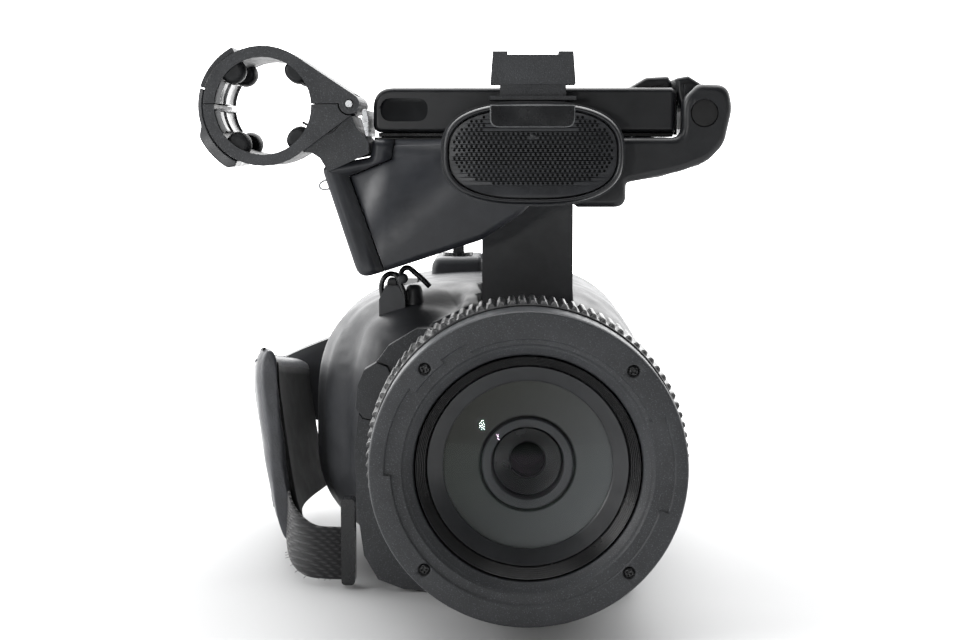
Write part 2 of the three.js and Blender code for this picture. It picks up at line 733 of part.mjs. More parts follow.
node(
  "mode_dial",
  join(
    pinZ(DIAL_X, DIAL_Y, DIAL_R, HUMP_TOP + GAP, HUMP_TOP + 1.4),
    box(DIAL_X - 1.8, DIAL_X + 2.6, DIAL_Y - 4.5, DIAL_Y + 4.5, HUMP_TOP + 1, HUMP_TOP + 4.2),
  ),
  SATIN,
);

// ---------------------------------------------------------------- microphone
// A flattened oval with a straight stretch along the top.
function micOutline(grow, count = 40) {
  const topLimit = MIC_Z + MIC_HALF_HEIGHT + grow;
  return Array.from({ length: count }, (_, i) => {
    const t = (2 * Math.PI * (i + 0.5)) / count;
    const c = Math.cos(t);
    const s = Math.sin(t);
    const power = 2 / 2.7;
    const x = MIC_X + Math.sign(c) * (MIC_HALF_WIDTH + grow) * Math.abs(c) ** power;
    const z = MIC_Z + Math.sign(s) * (MIC_HALF_HEIGHT + grow) * Math.abs(s) ** power;
    return [x, Math.min(z, topLimit)];
  });
}
const rimBack = MIC_FRONT + 4.7;
node("mic_rim", alongY(micOutline(0), MIC_FRONT, rimBack, micOutline(-MIC_RIM)), SATIN);
node("mic_grille", alongY(micOutline(-MIC_RIM - GAP), MIC_FRONT + 0.7, MIC_FRONT + 2.2), STEEL);
const micShell = cut(
  alongY(micOutline(0.8), rimBack + GAP, MIC_BACK),
  alongY(micOutline(-MIC_RIM - 1), rimBack - 1, MIC_BACK - 3),
);
node("mic_housing", micShell, MATTE);
const CAPSULE_R = 8;
const capsules = join(
  box(MIC_X - 20, MIC_X + 20, rimBack - 1, rimBack + 1, MIC_Z - 3, MIC_Z + 3),
  pinY(MIC_X - 13, MIC_Z, CAPSULE_R, rimBack - 1.6, MIC_BACK - 3 - GAP),
  pinY(MIC_X + 13, MIC_Z, CAPSULE_R, rimBack - 1.6, MIC_BACK - 3 - GAP),
);
node("mic_capsules", capsules, STEEL);

// ---------------------------------------------------------------- accessory shoe
const shoeHalf = SHOE_WIDTH / 2;
const shoeFront = [
  [SHOE_X - shoeHalf, SHOE_BOTTOM],
  [SHOE_X + shoeHalf, SHOE_BOTTOM],
  [SHOE_X + shoeHalf - 0.8, SHOE_TOP],
  [SHOE_X - shoeHalf + 0.8, SHOE_TOP],
];
const shoeFloor = SHOE_TOP - 5.6;
const shoeStalk = box(SHOE_X - 11, SHOE_X + 11, MIC_BACK + GAP, SHOE_BACK, HEAD_TOP + 0.8, SHOE_BOTTOM + 1);
const flangeBottom = MIC_Z + MIC_HALF_HEIGHT + 1.2;
const flangeTop = flangeBottom + 1.3;
const shoeFlange = box(SHOE_X - 14.4, SHOE_X + 14.4, SHOE_FRONT, SHOE_BACK, flangeBottom, flangeTop);
const shoeNeck = box(SHOE_X - 11, SHOE_X + 11, SHOE_FRONT + 1.5, SHOE_BACK, flangeTop - 0.4, SHOE_BOTTOM + 1);
const shoeChannel = box(
  SHOE_X - SHOE_SLOT / 2,
  SHOE_X + SHOE_SLOT / 2,
  SHOE_FRONT + SHOE_WALL,
  SHOE_BACK + 1,
  shoeFloor,
  SHOE_TOP - 1.6,
);
const shoeMouth = box(
  SHOE_X - SHOE_MOUTH / 2,
  SHOE_X + SHOE_MOUTH / 2,
  SHOE_FRONT + SHOE_WALL,
  SHOE_BACK + 1,
  shoeFloor,
  SHOE_TOP + 1,
);
const frontNotch = box(
  SHOE_X - SHOE_MOUTH / 2,
  SHOE_X + SHOE_MOUTH / 2,
  SHOE_FRONT - 1,
  SHOE_BACK,
  SHOE_TOP - SHOE_STOP_DROP,
  SHOE_TOP + 1,
);
const shoeSolid = join(alongY(shoeFront, SHOE_FRONT, SHOE_BACK), shoeStalk, shoeFlange, shoeNeck);
node("shoe_mount", cut(shoeSolid, shoeChannel, shoeMouth, frontNotch), MATTE);

// ---------------------------------------------------------------- folding screen, its arm and hinge
const armClear = ARM_TIP_R + 0.6;
const ARM_TOP = XLR_TOP + 0.3;
const ARM_LEFT = 1.7;
const ARM_BOTTOM = HEAD_BOTTOM + 0.1;
const FOOT_RIGHT = 33.6; // the rounded foot beside the microphone
// The arm's underside, from the handle to the hinge.
const armUnderside = [
  [ARM_LEFT, ARM_BOTTOM + 0.9],
  [16.4, ARM_BOTTOM + 0.9],
  [17.4, ARM_BOTTOM],
  [FOOT_RIGHT - 3.6, ARM_BOTTOM],
  [FOOT_RIGHT - 1, ARM_BOTTOM + 1.2],
  [FOOT_RIGHT, ARM_BOTTOM + 4],
  [FOOT_RIGHT + 0.2, ARM_BOTTOM + 8.3],
  [PANEL_RIGHT - 7.9, ARM_BOTTOM + 10.2],
  [PANEL_RIGHT + 5.7, ARM_BOTTOM + 14.2],
  [HINGE_X + 7, HINGE_Z - 10.1],
];
const armOutline = [
  ...armUnderside,
  [HINGE_X + ARM_TIP_R, HINGE_Z],
  [HINGE_X + 7.8, HINGE_Z + 4.7],
  [HINGE_X + 4.6, HINGE_Z + 7.7],
  [HINGE_X - 3.5, HINGE_Z + 7.7],
  [HINGE_X - 5.7, HINGE_Z + 6.5],
  [HINGE_X - 6, ARM_TOP],
  [ARM_LEFT, ARM_TOP],
];
const armLow = [...armUnderside, [HINGE_X + 7, ARM_TOP], [ARM_LEFT, ARM_TOP]];
const cheekBack = PANEL_FRONT - GAP;
const armBack = -45;
// Room for the panel: its front edge dips as it swings and twists, and its inner end stands upright when open.
const DIP = { reach: 14, depth: 3 };
const dipRoom = box(PANEL_RIGHT - DIP.reach, HALF, cheekBack, armBack + 1, ARM_TOP - DIP.depth, HALF);
const swingRoom = box(HINGE_X + 5.6, HALF, cheekBack, armBack + 1, 0, HALF);
const armBody = cut(
  join(alongY(armOutline, ARM_FRONT, cheekBack), alongY(armLow, cheekBack - 0.1, armBack)),
  dipRoom,
  swingRoom,
  box(-20, barX1 + GAP, post.y0 - GAP, armBack + 1, HEAD_BOTTOM - 20, HEAD_TOP + 10),
  alongY(circle(HINGE_X, HINGE_Z, armClear, 40), cheekBack, armBack + 1),
  pinY(HINGE_X, HINGE_Z, 4.8, ARM_FRONT - 1, ARM_FRONT + 1.5),
  pinY(HINGE_X, HINGE_Z, HINGE_PIN_R + GAP, ARM_FRONT - 1, cheekBack + 1),
);
node("lcd_arm", armBody, SATIN);
const blockFront = cheekBack + GAP + 0.2;
const blockBack = -38;
node(
  "lcd_hinge_pin",
  join(
    pinY(HINGE_X, HINGE_Z, HINGE_PIN_R, ARM_FRONT + 0.6, blockBack + 1.5),
    pinY(HINGE_X, HINGE_Z, 4, ARM_FRONT + 0.5, ARM_FRONT + 1.2),
  ),
  STEEL,
);
const blockR = ARM_TIP_R - 0.6;
const blockLeft = PANEL_RIGHT + 0.6;
const hingeBlock = cut(
  join(
    alongY(circle(HINGE_X, HINGE_Z, blockR, 32), blockFront, blockBack),
    box(blockLeft, HINGE_X, blockFront, blockBack, HINGE_Z - 6, PANEL_TOP + 2),
  ),
  pinY(HINGE_X, HINGE_Z, HINGE_PIN_R + GAP, blockFront - 1, blockBack + 1),
  box(0, blockLeft, blockFront - 1, blockBack + 1, HINGE_Z - 30, HINGE_Z + 30),
);
node("lcd_hinge_block", hingeBlock, SATIN);

const FRAME_HEIGHT = 3; // of the screen's frame, under the lid
const lidBottom = PANEL_BOTTOM + FRAME_HEIGHT;
const panelTopOutline = roundedBox2(PANEL_LEFT, lidBottom + GAP, PANEL_RIGHT, PANEL_TOP, 2.4, 3);
const SLOT = { x0: PANEL_LEFT + 4.2, z0: lidBottom + 1.1, width: 16, height: 8, r: 3.9 };
const slotOutline = roundedBox2(SLOT.x0, SLOT.z0, SLOT.x0 + SLOT.width, SLOT.z0 + SLOT.height, SLOT.r);
const fingerSlot = alongY(slotOutline, PANEL_FRONT - 1, PANEL_FRONT + 3);
const BUMP_HEIGHT = 3.8; // of the wedge on the lid beside the hinge
const bumpOutline = [
  [PANEL_RIGHT - 17.9, PANEL_TOP - 1],
  [PANEL_RIGHT - 0.2, PANEL_TOP - 1],
  [PANEL_RIGHT - 0.2, PANEL_TOP + BUMP_HEIGHT],
  [PANEL_RIGHT - 9.9, PANEL_TOP + BUMP_HEIGHT],
];
const panelBump = alongY(bumpOutline, PANEL_FRONT + 10, PANEL_BACK - 12);
const SCREEN_BORDER = 7;
const screenRecess = {
  x0: PANEL_LEFT + SCREEN_BORDER + 1.2,
  x1: PANEL_RIGHT - SCREEN_BORDER - 6.4,
  y0: PANEL_FRONT + SCREEN_BORDER,
  y1: PANEL_BACK - SCREEN_BORDER,
};
const lid = cut(
  join(alongY(panelTopOutline, PANEL_FRONT, PANEL_BACK), panelBump),
  fingerSlot,
);
node("lcd_back", lid, SATIN);
const frameOutline = roundedBox2(PANEL_LEFT, PANEL_FRONT, PANEL_RIGHT, PANEL_BACK, 3);
const frameHole = roundedBox2(screenRecess.x0, screenRecess.y0, screenRecess.x1, screenRecess.y1, 1);
node("lcd_frame", alongZ(frameOutline, PANEL_BOTTOM, lidBottom, frameHole), SATIN);
node(
  "lcd_screen",
  box(
    screenRecess.x0 + GAP,
    screenRecess.x1 - GAP,
    screenRecess.y0 + GAP,
    screenRecess.y1 - GAP,
    PANEL_BOTTOM + 0.6,
    lidBottom - 0.2,
  ),
  GLASS,
);

// ---------------------------------------------------------------- audio input box
// Outlines in X and Z of the housing and of the cover on its left; z is measured down from the top.
const belowTop = (points) => points.map(([x, drop]) => [x, XLR_TOP - drop]);
const xlrFace = belowTop([
  [-44.4, 0],
  [-45.4, 6.9],
  [-59.7, 12.7],
  [-48.1, 44.8],
  [-15, 34.1],
  [-2.1, 25.6],
  [1.4, 22.5],
  [1.4, 0],
]);
const coverFace = belowTop([
  [-69.6, 9.1],
  [-69.4, 11.5],
  [-57.2, 46.6],
  [-55.6, 47.6],
  [-48.4, 45],
  [-60.1, 12.5],
  [-45.8, 6.6],
  [-44.8, 0],
  [-52.5, 0.2],
  [-52.9, 6],
]);
const xlrSplit = post.y0 - GAP;
const behindLeft = Math.min(barX0, POST_LEFT) - GAP;
const xlrBehind = box(behindLeft, HALF, xlrSplit, HALF, HEAD_BOTTOM - 40, HEAD_TOP + 10);
const JACKS = belowTop([[-43, 27.1], [-26.4, 13.7]]);
const JACK_DEPTH = 24;
const jackHole = ([x, z]) => pinY(x, z, JACK_R + GAP, XLR_BACK - JACK_DEPTH, XLR_BACK + 1, 24);
node(
  "xlr_housing",
  cut(alongY(xlrFace, XLR_FRONT, XLR_BACK), xlrBehind, ...JACKS.map(jackHole)),
  MATTE,
);
const coverOuter = alongY(coverFace, XLR_FRONT - 0.6, XLR_BACK + 0.6);
const SEAM = 0.65; // between the housing and its cover
const housingClear = alongY(
  belowTop([
    [-44.1, -4],
    [-45.1, 7.1],
    [-59.4, 12.9],
    [-47.6, 46.1],
    [-15, 36.1],
    [1.4, 22.5],
    [1.4, -4],
  ]),
  XLR_FRONT - 2,
  XLR_BACK + 2,
);
node("xlr_cover", cut(coverOuter, housingClear.translate(-SEAM, 0, 0.1)), MATTE);
JACKS.forEach(([x, z], i) => {
  const body = pinY(x, z, JACK_R, XLR_BACK - JACK_DEPTH + GAP, XLR_BACK + 0.8, 24);
  node(`xlr_jack_${i + 1}`, body, STEEL);
});

// ---------------------------------------------------------------- clamp for a second microphone
const clampBack = CLAMP_FRONT + CLAMP_DEPTH;
const clampOutline = teardrop(CLAMP_X, CLAMP_Z, CLAMP_R, CLAMP_PIN_X, CLAMP_PIN_Z, CLAMP_EAR_R);
const clampBore = alongY(circle(CLAMP_X, CLAMP_Z, CLAMP_BORE_R, 40), CLAMP_FRONT - 1, clampBack + 1);
const clampPinHole = pinY(CLAMP_PIN_X, CLAMP_PIN_Z, CLAMP_PIN_R + GAP, CLAMP_FRONT - 1, clampBack + 1);
const clampBody = cut(alongY(clampOutline, CLAMP_FRONT, clampBack), clampBore, clampPinHole);
// The upper half keeps the two ends of the hinge barrel and the lower half its middle.
const EAR_LENGTH = 11;
const middleEar = [CLAMP_FRONT + EAR_LENGTH, clampBack - EAR_LENGTH];
const earBarrel = (r, y0, y1) => alongY(circle(CLAMP_PIN_X, CLAMP_PIN_Z, r, 28), y0, y1);
const EAR_CLEAR_R = CLAMP_EAR_R + 0.5;
const above = box(-HALF, HALF, -HALF, HALF, CLAMP_PIN_Z + GAP / 2, HALF * 2);
const below = box(-HALF, HALF, -HALF, HALF, -HALF, CLAMP_PIN_Z - GAP / 2);
const middleSweep = earBarrel(EAR_CLEAR_R, middleEar[0] - GAP, middleEar[1] + GAP);
const endSweeps = join(
  earBarrel(EAR_CLEAR_R, CLAMP_FRONT - 1, middleEar[0]),
  earBarrel(EAR_CLEAR_R, middleEar[1], clampBack + 1),
);
const endEars = join(
  earBarrel(CLAMP_EAR_R, CLAMP_FRONT, middleEar[0] - GAP),
  earBarrel(CLAMP_EAR_R, middleEar[1] + GAP, clampBack),
);
const RIDGE = { inner: CLAMP_R - 0.6, outer: CLAMP_R + 2.2, from: 118, to: 163 };
const ridgeOutline = arcBand(CLAMP_X, CLAMP_Z, RIDGE.inner, RIDGE.outer, RIDGE.from, RIDGE.to);
const ridge = alongY(ridgeOutline, CLAMP_FRONT + 3, clampBack - 3);
const upperHalf = join(clampBody.intersect(above).subtract(middleSweep), endEars, ridge);
node("clamp_upper", cut(upperHalf, clampPinHole, clampBore), MATTE);
// The foot that stands on the audio box, with a hollow under the ring.
const footRight = CLAMP_PIN_X + 7.4;
const footLeft = CLAMP_PIN_X - 16.9;
const clampFoot = alongY(
  [
    [footLeft, XLR_TOP - 2],
    [footLeft + 1.2, XLR_TOP - 4.3],
    [footLeft + 4, XLR_TOP - 4.6],
    [footLeft + 6.7, XLR_TOP - 6.3],
    [footLeft + 8.5, XLR_TOP - 9.2],
    [footLeft + 9.5, XLR_TOP - 11],
    [footRight - 0.6, XLR_TOP - 4.6],
    [footRight, XLR_TOP - 2.3],
    [CLAMP_PIN_X + 2, CLAMP_PIN_Z - 7.6],
    [CLAMP_PIN_X + 0.8, CLAMP_PIN_Z - 4],
    [CLAMP_PIN_X - 3, CLAMP_PIN_Z - 2.5],
  ],
  CLAMP_FRONT + 2,
  clampBack,
);
const coverClear = alongY(
  coverFace.map(([x, z]) => [x - 0.3, z + 0.5]),
  XLR_FRONT - 1,
  XLR_BACK + 1,
);
const STEP_X = -52.4; // left face of the raised part of the audio box
const stepClear = box(STEP_X - 0.9, STEP_X + 20, CLAMP_FRONT - 1, clampBack + 1, XLR_TOP - 12, XLR_TOP + 15);
const lowerHalf = cut(
  join(
    clampBody.intersect(below),
    clampFoot.subtract(clampBore),
    earBarrel(CLAMP_EAR_R, ...middleEar),
  ),
  clampPinHole,
  endSweeps,
  coverClear,
  stepClear,
);
node("clamp_lower", largestOf(lowerHalf), MATTE);
node("clamp_pin", pinY(CLAMP_PIN_X, CLAMP_PIN_Z, CLAMP_PIN_R, CLAMP_FRONT - 0.8, clampBack + 0.8), STEEL);
// The latch: a band that holds the two halves shut, with a thumb tab.
const LATCH_INNER = CLAMP_R + 0.5;
const LATCH = { band: 2, tab: 4, from: 168, tabFrom: 198, to: 244 };
const latchBand = arcBand(CLAMP_X, CLAMP_Z, LATCH_INNER, LATCH_INNER + LATCH.band, LATCH.from, LATCH.to);
const latchTab = arcBand(CLAMP_X, CLAMP_Z, LATCH_INNER, LATCH_INNER + LATCH.tab, LATCH.tabFrom, LATCH.to);
const latch = join(
  alongY(latchBand, CLAMP_FRONT + 4, clampBack - 4),
  alongY(latchTab, CLAMP_FRONT + 10, clampBack - 10),
);
node("clamp_latch", latch, MATTE);

// ---------------------------------------------------------------- lug and carrying ring on the shoulder
const LUG = { x0: -52.6, x1: -43.2, y0: -66, y1: -58, bottom: BODY_TOP - 20, top: BODY_TOP - 0.5 };
const lugFront = [
  [LUG.x0, LUG.bottom],
  [LUG.x1, LUG.bottom],
  [LUG.x1, LUG.top - 5],
  [LUG.x1 - 2.4, LUG.top],
  [LUG.x0 + 2.4, LUG.top],
  [LUG.x0, LUG.top - 5],
];
const ringHole = pinX((LUG.y0 + LUG.y1) / 2, LUG.top - 4, 1.7, LUG.x0 - 1, LUG.x1 + 1);
node("strap_lug", cut(alongY(lugFront, LUG.y0, LUG.y1), bodyClear, ringHole), MATTE);
const ringY = (LUG.y0 + LUG.y1) / 2;
const ringOuter = roundedBox2(LUG.x0 - 2.2, LUG.top - 5.1, LUG.x1 + 2.2, LUG.top + 4.4, 2.4);
const ringInner = roundedBox2(LUG.x0 - 0.3, LUG.top - 3, LUG.x1 + 0.3, LUG.top + 2.6, 1.6);
node("strap_ring", alongY(ringOuter, ringY - 1, ringY + 1, ringInner), STEEL);

// ---------------------------------------------------------------- hand strap
// Sections of the pad from front to back: share of its length, bow outwards, and slimming at the ends.
const PAD_STATIONS = [
  [0, 0, 0.8],
  [0.06, 0.6, 1],
  [0.25, 4, 1],
  [0.5, 6.4, 1],
  [0.75, 5, 1],
  [0.94, 1.5, 1],
  [1, 0.6, 0.8],
];
const PAD_FALL = 0.25; // how much lower its top is at the back, as a share of its height
const PAD_BOTTOM = 12.6;
const padOuter = [
  [1.6, 13.5],
  [-2.6, 26],
  [-5, 39],
  [-6.8, 54],
  [-8.8, 71],
  [-8, 81],
  [-5.8, 84],
];
const padInner = [
  [-1, 82],
  [-0.4, 71],
  [1.8, 54],
  [3.8, 39],
  [6.2, 26],
  [9.2, 15.5],
  [6.4, PAD_BOTTOM],
];
const padLength = PAD_BACK - PAD_FRONT;
const padSections = PAD_STATIONS.map(([share, bow, slim]) => {
  const height = (0.4 + 0.6 * slim) * (1 - PAD_FALL * share);
  return [...padOuter, ...padInner].map(([dx, z]) => [
    PAD_X + dx * slim - bow,
    PAD_FRONT + share * padLength,
    PAD_BOTTOM + (z - PAD_BOTTOM) * height,
  ]);
});
node("strap_pad", loft(padSections), FABRIC);

// The webbing comes out of the pad's front edge and turns round the grip to a slotted bracket.
const WEBBING_Y = -79.8; // where it runs through the bracket
const webbingPath = [
  [PAD_X + 3.4, PAD_FRONT - 0.9],
  [PAD_X + 4.8, -67],
  [PAD_X + 8.5, -73.5],
  [PAD_X + 14.5, -78],
  [PAD_X + 21.5, WEBBING_Y + 0.2],
  [PAD_X + 28.5, WEBBING_Y],
];
function band(path, thickness) {
  const left = [];
  const right = [];
  path.forEach(([x, y], i) => {
    const before = path[Math.max(i - 1, 0)];
    const after = path[Math.min(i + 1, path.length - 1)];
    const along = new THREE.Vector2(after[0] - before[0], after[1] - before[1]).normalize();
    left.push([x - (along.y * thickness) / 2, y + (along.x * thickness) / 2]);
    right.unshift([x + (along.y * thickness) / 2, y - (along.x * thickness) / 2]);
  });
  return [...left, ...right];
}
const webbingTop = WEBBING_BOTTOM + WEBBING_WIDTH;
node("strap_webbing", alongZ(band(webbingPath, WEBBING_THICKNESS), WEBBING_BOTTOM, webbingTop), FABRIC);
const BRACKET = { x0: PAD_X + 24.5, x1: PAD_X + 29.4, y0: WEBBING_Y - 3.6, y1: WEBBING_Y + 3.8 };
const bracketSlot = box(
  BRACKET.x0 - 1,
  BRACKET.x1 - 0.6,
  WEBBING_Y - WEBBING_THICKNESS / 2 - GAP,
  WEBBING_Y + WEBBING_THICKNESS / 2 + GAP + 0.4,
  WEBBING_BOTTOM - GAP,
  webbingTop + GAP,
);
const bracketFace = roundedBox2(BRACKET.x0, WEBBING_BOTTOM - 2.6, BRACKET.x1, webbingTop + 2.6, 1.4);
node("strap_bracket", cut(alongY(bracketFace, BRACKET.y0, BRACKET.y1), bracketSlot, bodyClear), SATIN);
// The wedge that joins the pad's rear end to the body.
const anchorOutline = [
  [PAD_X - 12, 44],
  [PAD_X - 14, 62],
  [PAD_X - 13.6, 66.4],
  [PAD_X - 4, 70.8],
  [PAD_X + 9, 76],
  [PAD_X + 32, 81],
  [PAD_X + 32, 40],
  [PAD_X + 10, 38],
];
node("strap_anchor", cut(alongY(anchorOutline, PAD_BACK + 1, PAD_BACK + 14), bodyClear), MATTE);

// ---------------------------------------------------------------- controls on the right side
const PANEL = { x0: BODY_RIGHT + GAP, x1: BODY_RIGHT + 2.8, y0: -48, y1: 42, z0: 24, z1: 78 };
const DIAL = { y: 26, z: 62, r: 8, out: 3 };
const KNOB = { y: -10, z: 62 };
const KNOB_R = 6;
const SLIDER = { y: -30, z: 36, length: 9, height: 5, travel: 6 };
const sliderSlot = box(
  PANEL.x0 - 1,
  PANEL.x1 + 1,
  SLIDER.y - SLIDER.length / 2 - GAP,
  SLIDER.y + SLIDER.length / 2 + SLIDER.travel + GAP,
  SLIDER.z - SLIDER.height / 2 - GAP,
  SLIDER.z + SLIDER.height / 2 + GAP,
);
const sidePlate = alongX(roundedBox2(PANEL.y0, PANEL.z0, PANEL.y1, PANEL.z1, 4), PANEL.x0, PANEL.x1);
node("control_panel", cut(sidePlate, sliderSlot, bodyClear), SATIN);
node("menu_dial", pinX(DIAL.y, DIAL.z, DIAL.r, PANEL.x1 + GAP, PANEL.x1 + GAP + DIAL.out, 28), RUBBER);
node("audio_knob", pinX(KNOB.y, KNOB.z, KNOB_R, PANEL.x1 + GAP, PANEL.x1 + GAP + 3.4), SATIN);
node(
  "nd_filter_switch",
  box(
    PANEL.x0 + GAP,
    PANEL.x1 + 2,
    SLIDER.y - SLIDER.length / 2,
    SLIDER.y + SLIDER.length / 2,
    SLIDER.z - SLIDER.height / 2,
    SLIDER.z + SLIDER.height / 2,
  ),
  SATIN,
);

// ---------------------------------------------------------------- viewfinder
const FINDER_HALF = 21;
const FINDER_R = 15;
const PIVOT = { y: BAR_END + 8, r: 3 };
const finderStart = FINDER_FRONT + 12;
const finderSide = [
  [finderStart, FINDER_Z - 14],
  [FINDER_FRONT + FINDER_LENGTH, FINDER_Z - 15],
  [FINDER_FRONT + FINDER_LENGTH, FINDER_Z + 16],
  [finderStart + 6, FINDER_Z + 18],
  [finderStart, FINDER_Z + 12],
];
const finderTongue = join(
  box(FINDER_X - 7, FINDER_X + 7, PIVOT.y, finderStart + 1, FINDER_Z - 5, FINDER_Z + 5),
  pinX(PIVOT.y, FINDER_Z, 5, FINDER_X - 7, FINDER_X + 7, 24),
);
const finderPinHole = pinX(PIVOT.y, FINDER_Z, PIVOT.r + GAP, FINDER_X - 8, FINDER_X + 8);
node(
  "viewfinder",
  cut(join(alongX(finderSide, FINDER_X - FINDER_HALF, FINDER_X + FINDER_HALF), finderTongue), finderPinHole),
  MATTE,
);
const eyeFront = FINDER_FRONT + FINDER_LENGTH + GAP;
const EYECUP_DEPTH = 12;
const eyeOutline = (grow) =>
  roundedBox2(
    FINDER_X - FINDER_HALF - grow,
    FINDER_Z - 15 - grow,
    FINDER_X + FINDER_HALF + grow,
    FINDER_Z + 16 + grow,
    FINDER_R - 2 + grow,
  );
node("eyecup", alongY(eyeOutline(2), eyeFront, eyeFront + EYECUP_DEPTH, eyeOutline(-4)), RUBBER);
const cheekHalf = 12;
const bracketPlate = [FINDER_X - cheekHalf, FINDER_X + cheekHalf];
const finderCheek = (x0, x1) =>
  join(
    box(x0, x1, BAR_END + GAP, PIVOT.y, FINDER_Z - 5, FINDER_Z + 5),
    pinX(PIVOT.y, FINDER_Z, 5, x0, x1, 24),
  );
node(
  "finder_bracket",
  cut(
    join(
      finderCheek(FINDER_X - cheekHalf, FINDER_X - 7.6),
      finderCheek(FINDER_X + 7.6, FINDER_X + cheekHalf),
      box(...bracketPlate, BAR_END + GAP, BAR_END + 2.6, FINDER_Z - 5, FINDER_Z + 5),
    ),
    pinX(PIVOT.y, FINDER_Z, PIVOT.r + GAP, FINDER_X - cheekHalf - 1, FINDER_X + cheekHalf + 1),
  ),
  SATIN,
);
node("finder_pin", pinX(PIVOT.y, FINDER_Z, PIVOT.r, FINDER_X - cheekHalf, FINDER_X + cheekHalf), STEEL);

export default camcorder;
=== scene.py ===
"""Looks of a handheld camcorder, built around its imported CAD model. Lengths in the script are millimetres."""

import json
import math
import random

import bmesh
import bpy
from mathutils import Matrix, Vector
from mathutils import noise as hills


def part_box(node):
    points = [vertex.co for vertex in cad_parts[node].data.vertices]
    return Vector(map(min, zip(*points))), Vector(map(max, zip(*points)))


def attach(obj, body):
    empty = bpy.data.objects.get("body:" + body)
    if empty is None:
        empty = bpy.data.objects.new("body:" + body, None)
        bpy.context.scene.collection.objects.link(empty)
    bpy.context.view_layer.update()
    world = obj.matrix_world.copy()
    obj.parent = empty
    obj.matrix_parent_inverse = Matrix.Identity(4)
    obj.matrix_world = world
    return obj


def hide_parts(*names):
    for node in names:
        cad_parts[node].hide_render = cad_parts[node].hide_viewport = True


MM = 0.001
# Where the lens axis crosses X and Z.
LENS_AXIS = (0.0, 56.0)

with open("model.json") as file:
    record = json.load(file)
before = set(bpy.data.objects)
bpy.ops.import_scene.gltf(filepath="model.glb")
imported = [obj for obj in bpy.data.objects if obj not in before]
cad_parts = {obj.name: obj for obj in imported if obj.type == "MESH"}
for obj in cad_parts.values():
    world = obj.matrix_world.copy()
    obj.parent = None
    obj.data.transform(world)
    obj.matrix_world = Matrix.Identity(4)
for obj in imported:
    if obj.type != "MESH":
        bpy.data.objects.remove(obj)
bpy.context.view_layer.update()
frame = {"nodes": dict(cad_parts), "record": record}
NODES = frame["nodes"]
random.seed(7)


def mm_box(node):
    """A CAD node's lowest and highest corners in millimetres."""
    low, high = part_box(node)
    return low / MM, high / MM


# ------------------------------------------------------------------ materials
def new_material(name, color, roughness, metallic=0.0, specular=0.5):
    """A material with a Principled shader, and that shader."""
    material = bpy.data.materials.new(name)
    material.use_nodes = True
    shader = material.node_tree.nodes["Principled BSDF"]
    shader.inputs["Base Color"].default_value = (*color, 1)
    shader.inputs["Roughness"].default_value = roughness
    shader.inputs["Metallic"].default_value = metallic
    shader.inputs["Specular IOR Level"].default_value = specular
    return material, shader


def add_node(material, kind, **values):
    """A shader node with some of its inputs or properties set."""
    node = material.node_tree.nodes.new(kind)
    for key, value in values.items():
        if key in node.inputs:
            node.inputs[key].default_value = value
        else:
            setattr(node, key, value)
    return node


def link(material, source, target):
    material.node_tree.links.new(source, target)


def coordinates(material):
    return add_node(material, "ShaderNodeTexCoord").outputs["Object"]


def noise(material, scale, detail=3.0, roughness=0.5):
    node = add_node(material, "ShaderNodeTexNoise", Scale=scale, Detail=detail, Roughness=roughness)
    link(material, coordinates(material), node.inputs["Vector"])
    return node.outputs["Fac"]


def ramp(material, value, stops):
    """A value read through colour stops of (position, colour)."""
    node = add_node(material, "ShaderNodeValToRGB")
    elements = node.color_ramp.elements
    while len(elements) < len(stops):
        elements.new(0.5)
    for element, (position, color) in zip(elements, stops):
        element.position = position
        element.color = (*color, 1)
    link(material, value, node.inputs["Fac"])
    return node.outputs["Color"]


def scalar_ramp(material, value, stops):
    """A ramp of grey levels, as (position, level)."""
    return ramp(material, value, [(position, (level,) * 3) for position, level in stops])


def bump(material, shader, height, strength, distance):
    """Relief on a shader from a height between 0 and 1; distance is in metres."""
    node = add_node(material, "ShaderNodeBump", Strength=strength, Distance=distance)
    link(material, height, node.inputs["Height"])
    link(material, node.outputs["Normal"], shader.inputs["Normal"])


def moulded(name, color, roughness, grain, mica_glint=0.0, grain_strength=0.25):
    """Moulded plastic: a fine grain, faint mottling, and, for a speckle amount over 0, mica-like specks: flakes
    in the plastic whose bright colour is a painted glint.
    """
    material, shader = new_material(name, color, roughness)
    patches = noise(material, 60.0, 4.0, 0.6)
    light = tuple(min(1.0, c * 1.28 + 0.002) for c in color)
    dark = tuple(c * 0.8 for c in color)
    base = ramp(material, patches, [(0.3, dark), (0.7, light)])
    # Mica-like flakes of the plastic, painted brighter than the plastic: a painted glint.
    if mica_glint:
        specks = noise(material, grain * 1.4, 1.0, 0.4)
        mask = scalar_ramp(material, specks, [(0.6, 0.0), (0.72, 1.0)])
        bright = tuple(c * 2.2 + 0.03 * mica_glint for c in color)
        mix = add_node(material, "ShaderNodeMix", data_type="RGBA")
        link(material, mask, mix.inputs["Factor"])
        link(material, base, mix.inputs[6])
        mix.inputs[7].default_value = (*bright, 1)
        base = mix.outputs[2]
    link(material, base, shader.inputs["Base Color"])
    polish = noise(material, 140.0, 3.0)
    rough = scalar_ramp(material, polish, [(0.3, roughness - 0.05), (0.7, roughness + 0.07)])
    link(material, rough, shader.inputs["Roughness"])
    bump(material, shader, noise(material, grain, 2.0, 0.55), grain_strength, 0.0002)
    return material


def rubbery(name, color, roughness):
    """Rubber with a trace of pale dust."""
    material, shader = new_material(name, color, roughness, specular=0.35)
    dust = noise(material, 420.0, 6.0, 0.75)
    grey = tuple(c * 2.6 + 0.012 for c in color)
    link(material, ramp(material, dust, [(0.52, color), (0.8, grey)]), shader.inputs["Base Color"])
    rough = scalar_ramp(material, noise(material, 200.0), [(0.3, roughness - 0.08), (0.7, roughness + 0.08)])
    link(material, rough, shader.inputs["Roughness"])
    bump(material, shader, noise(material, 1500.0, 2.0), 0.2, 0.0001)
    return material


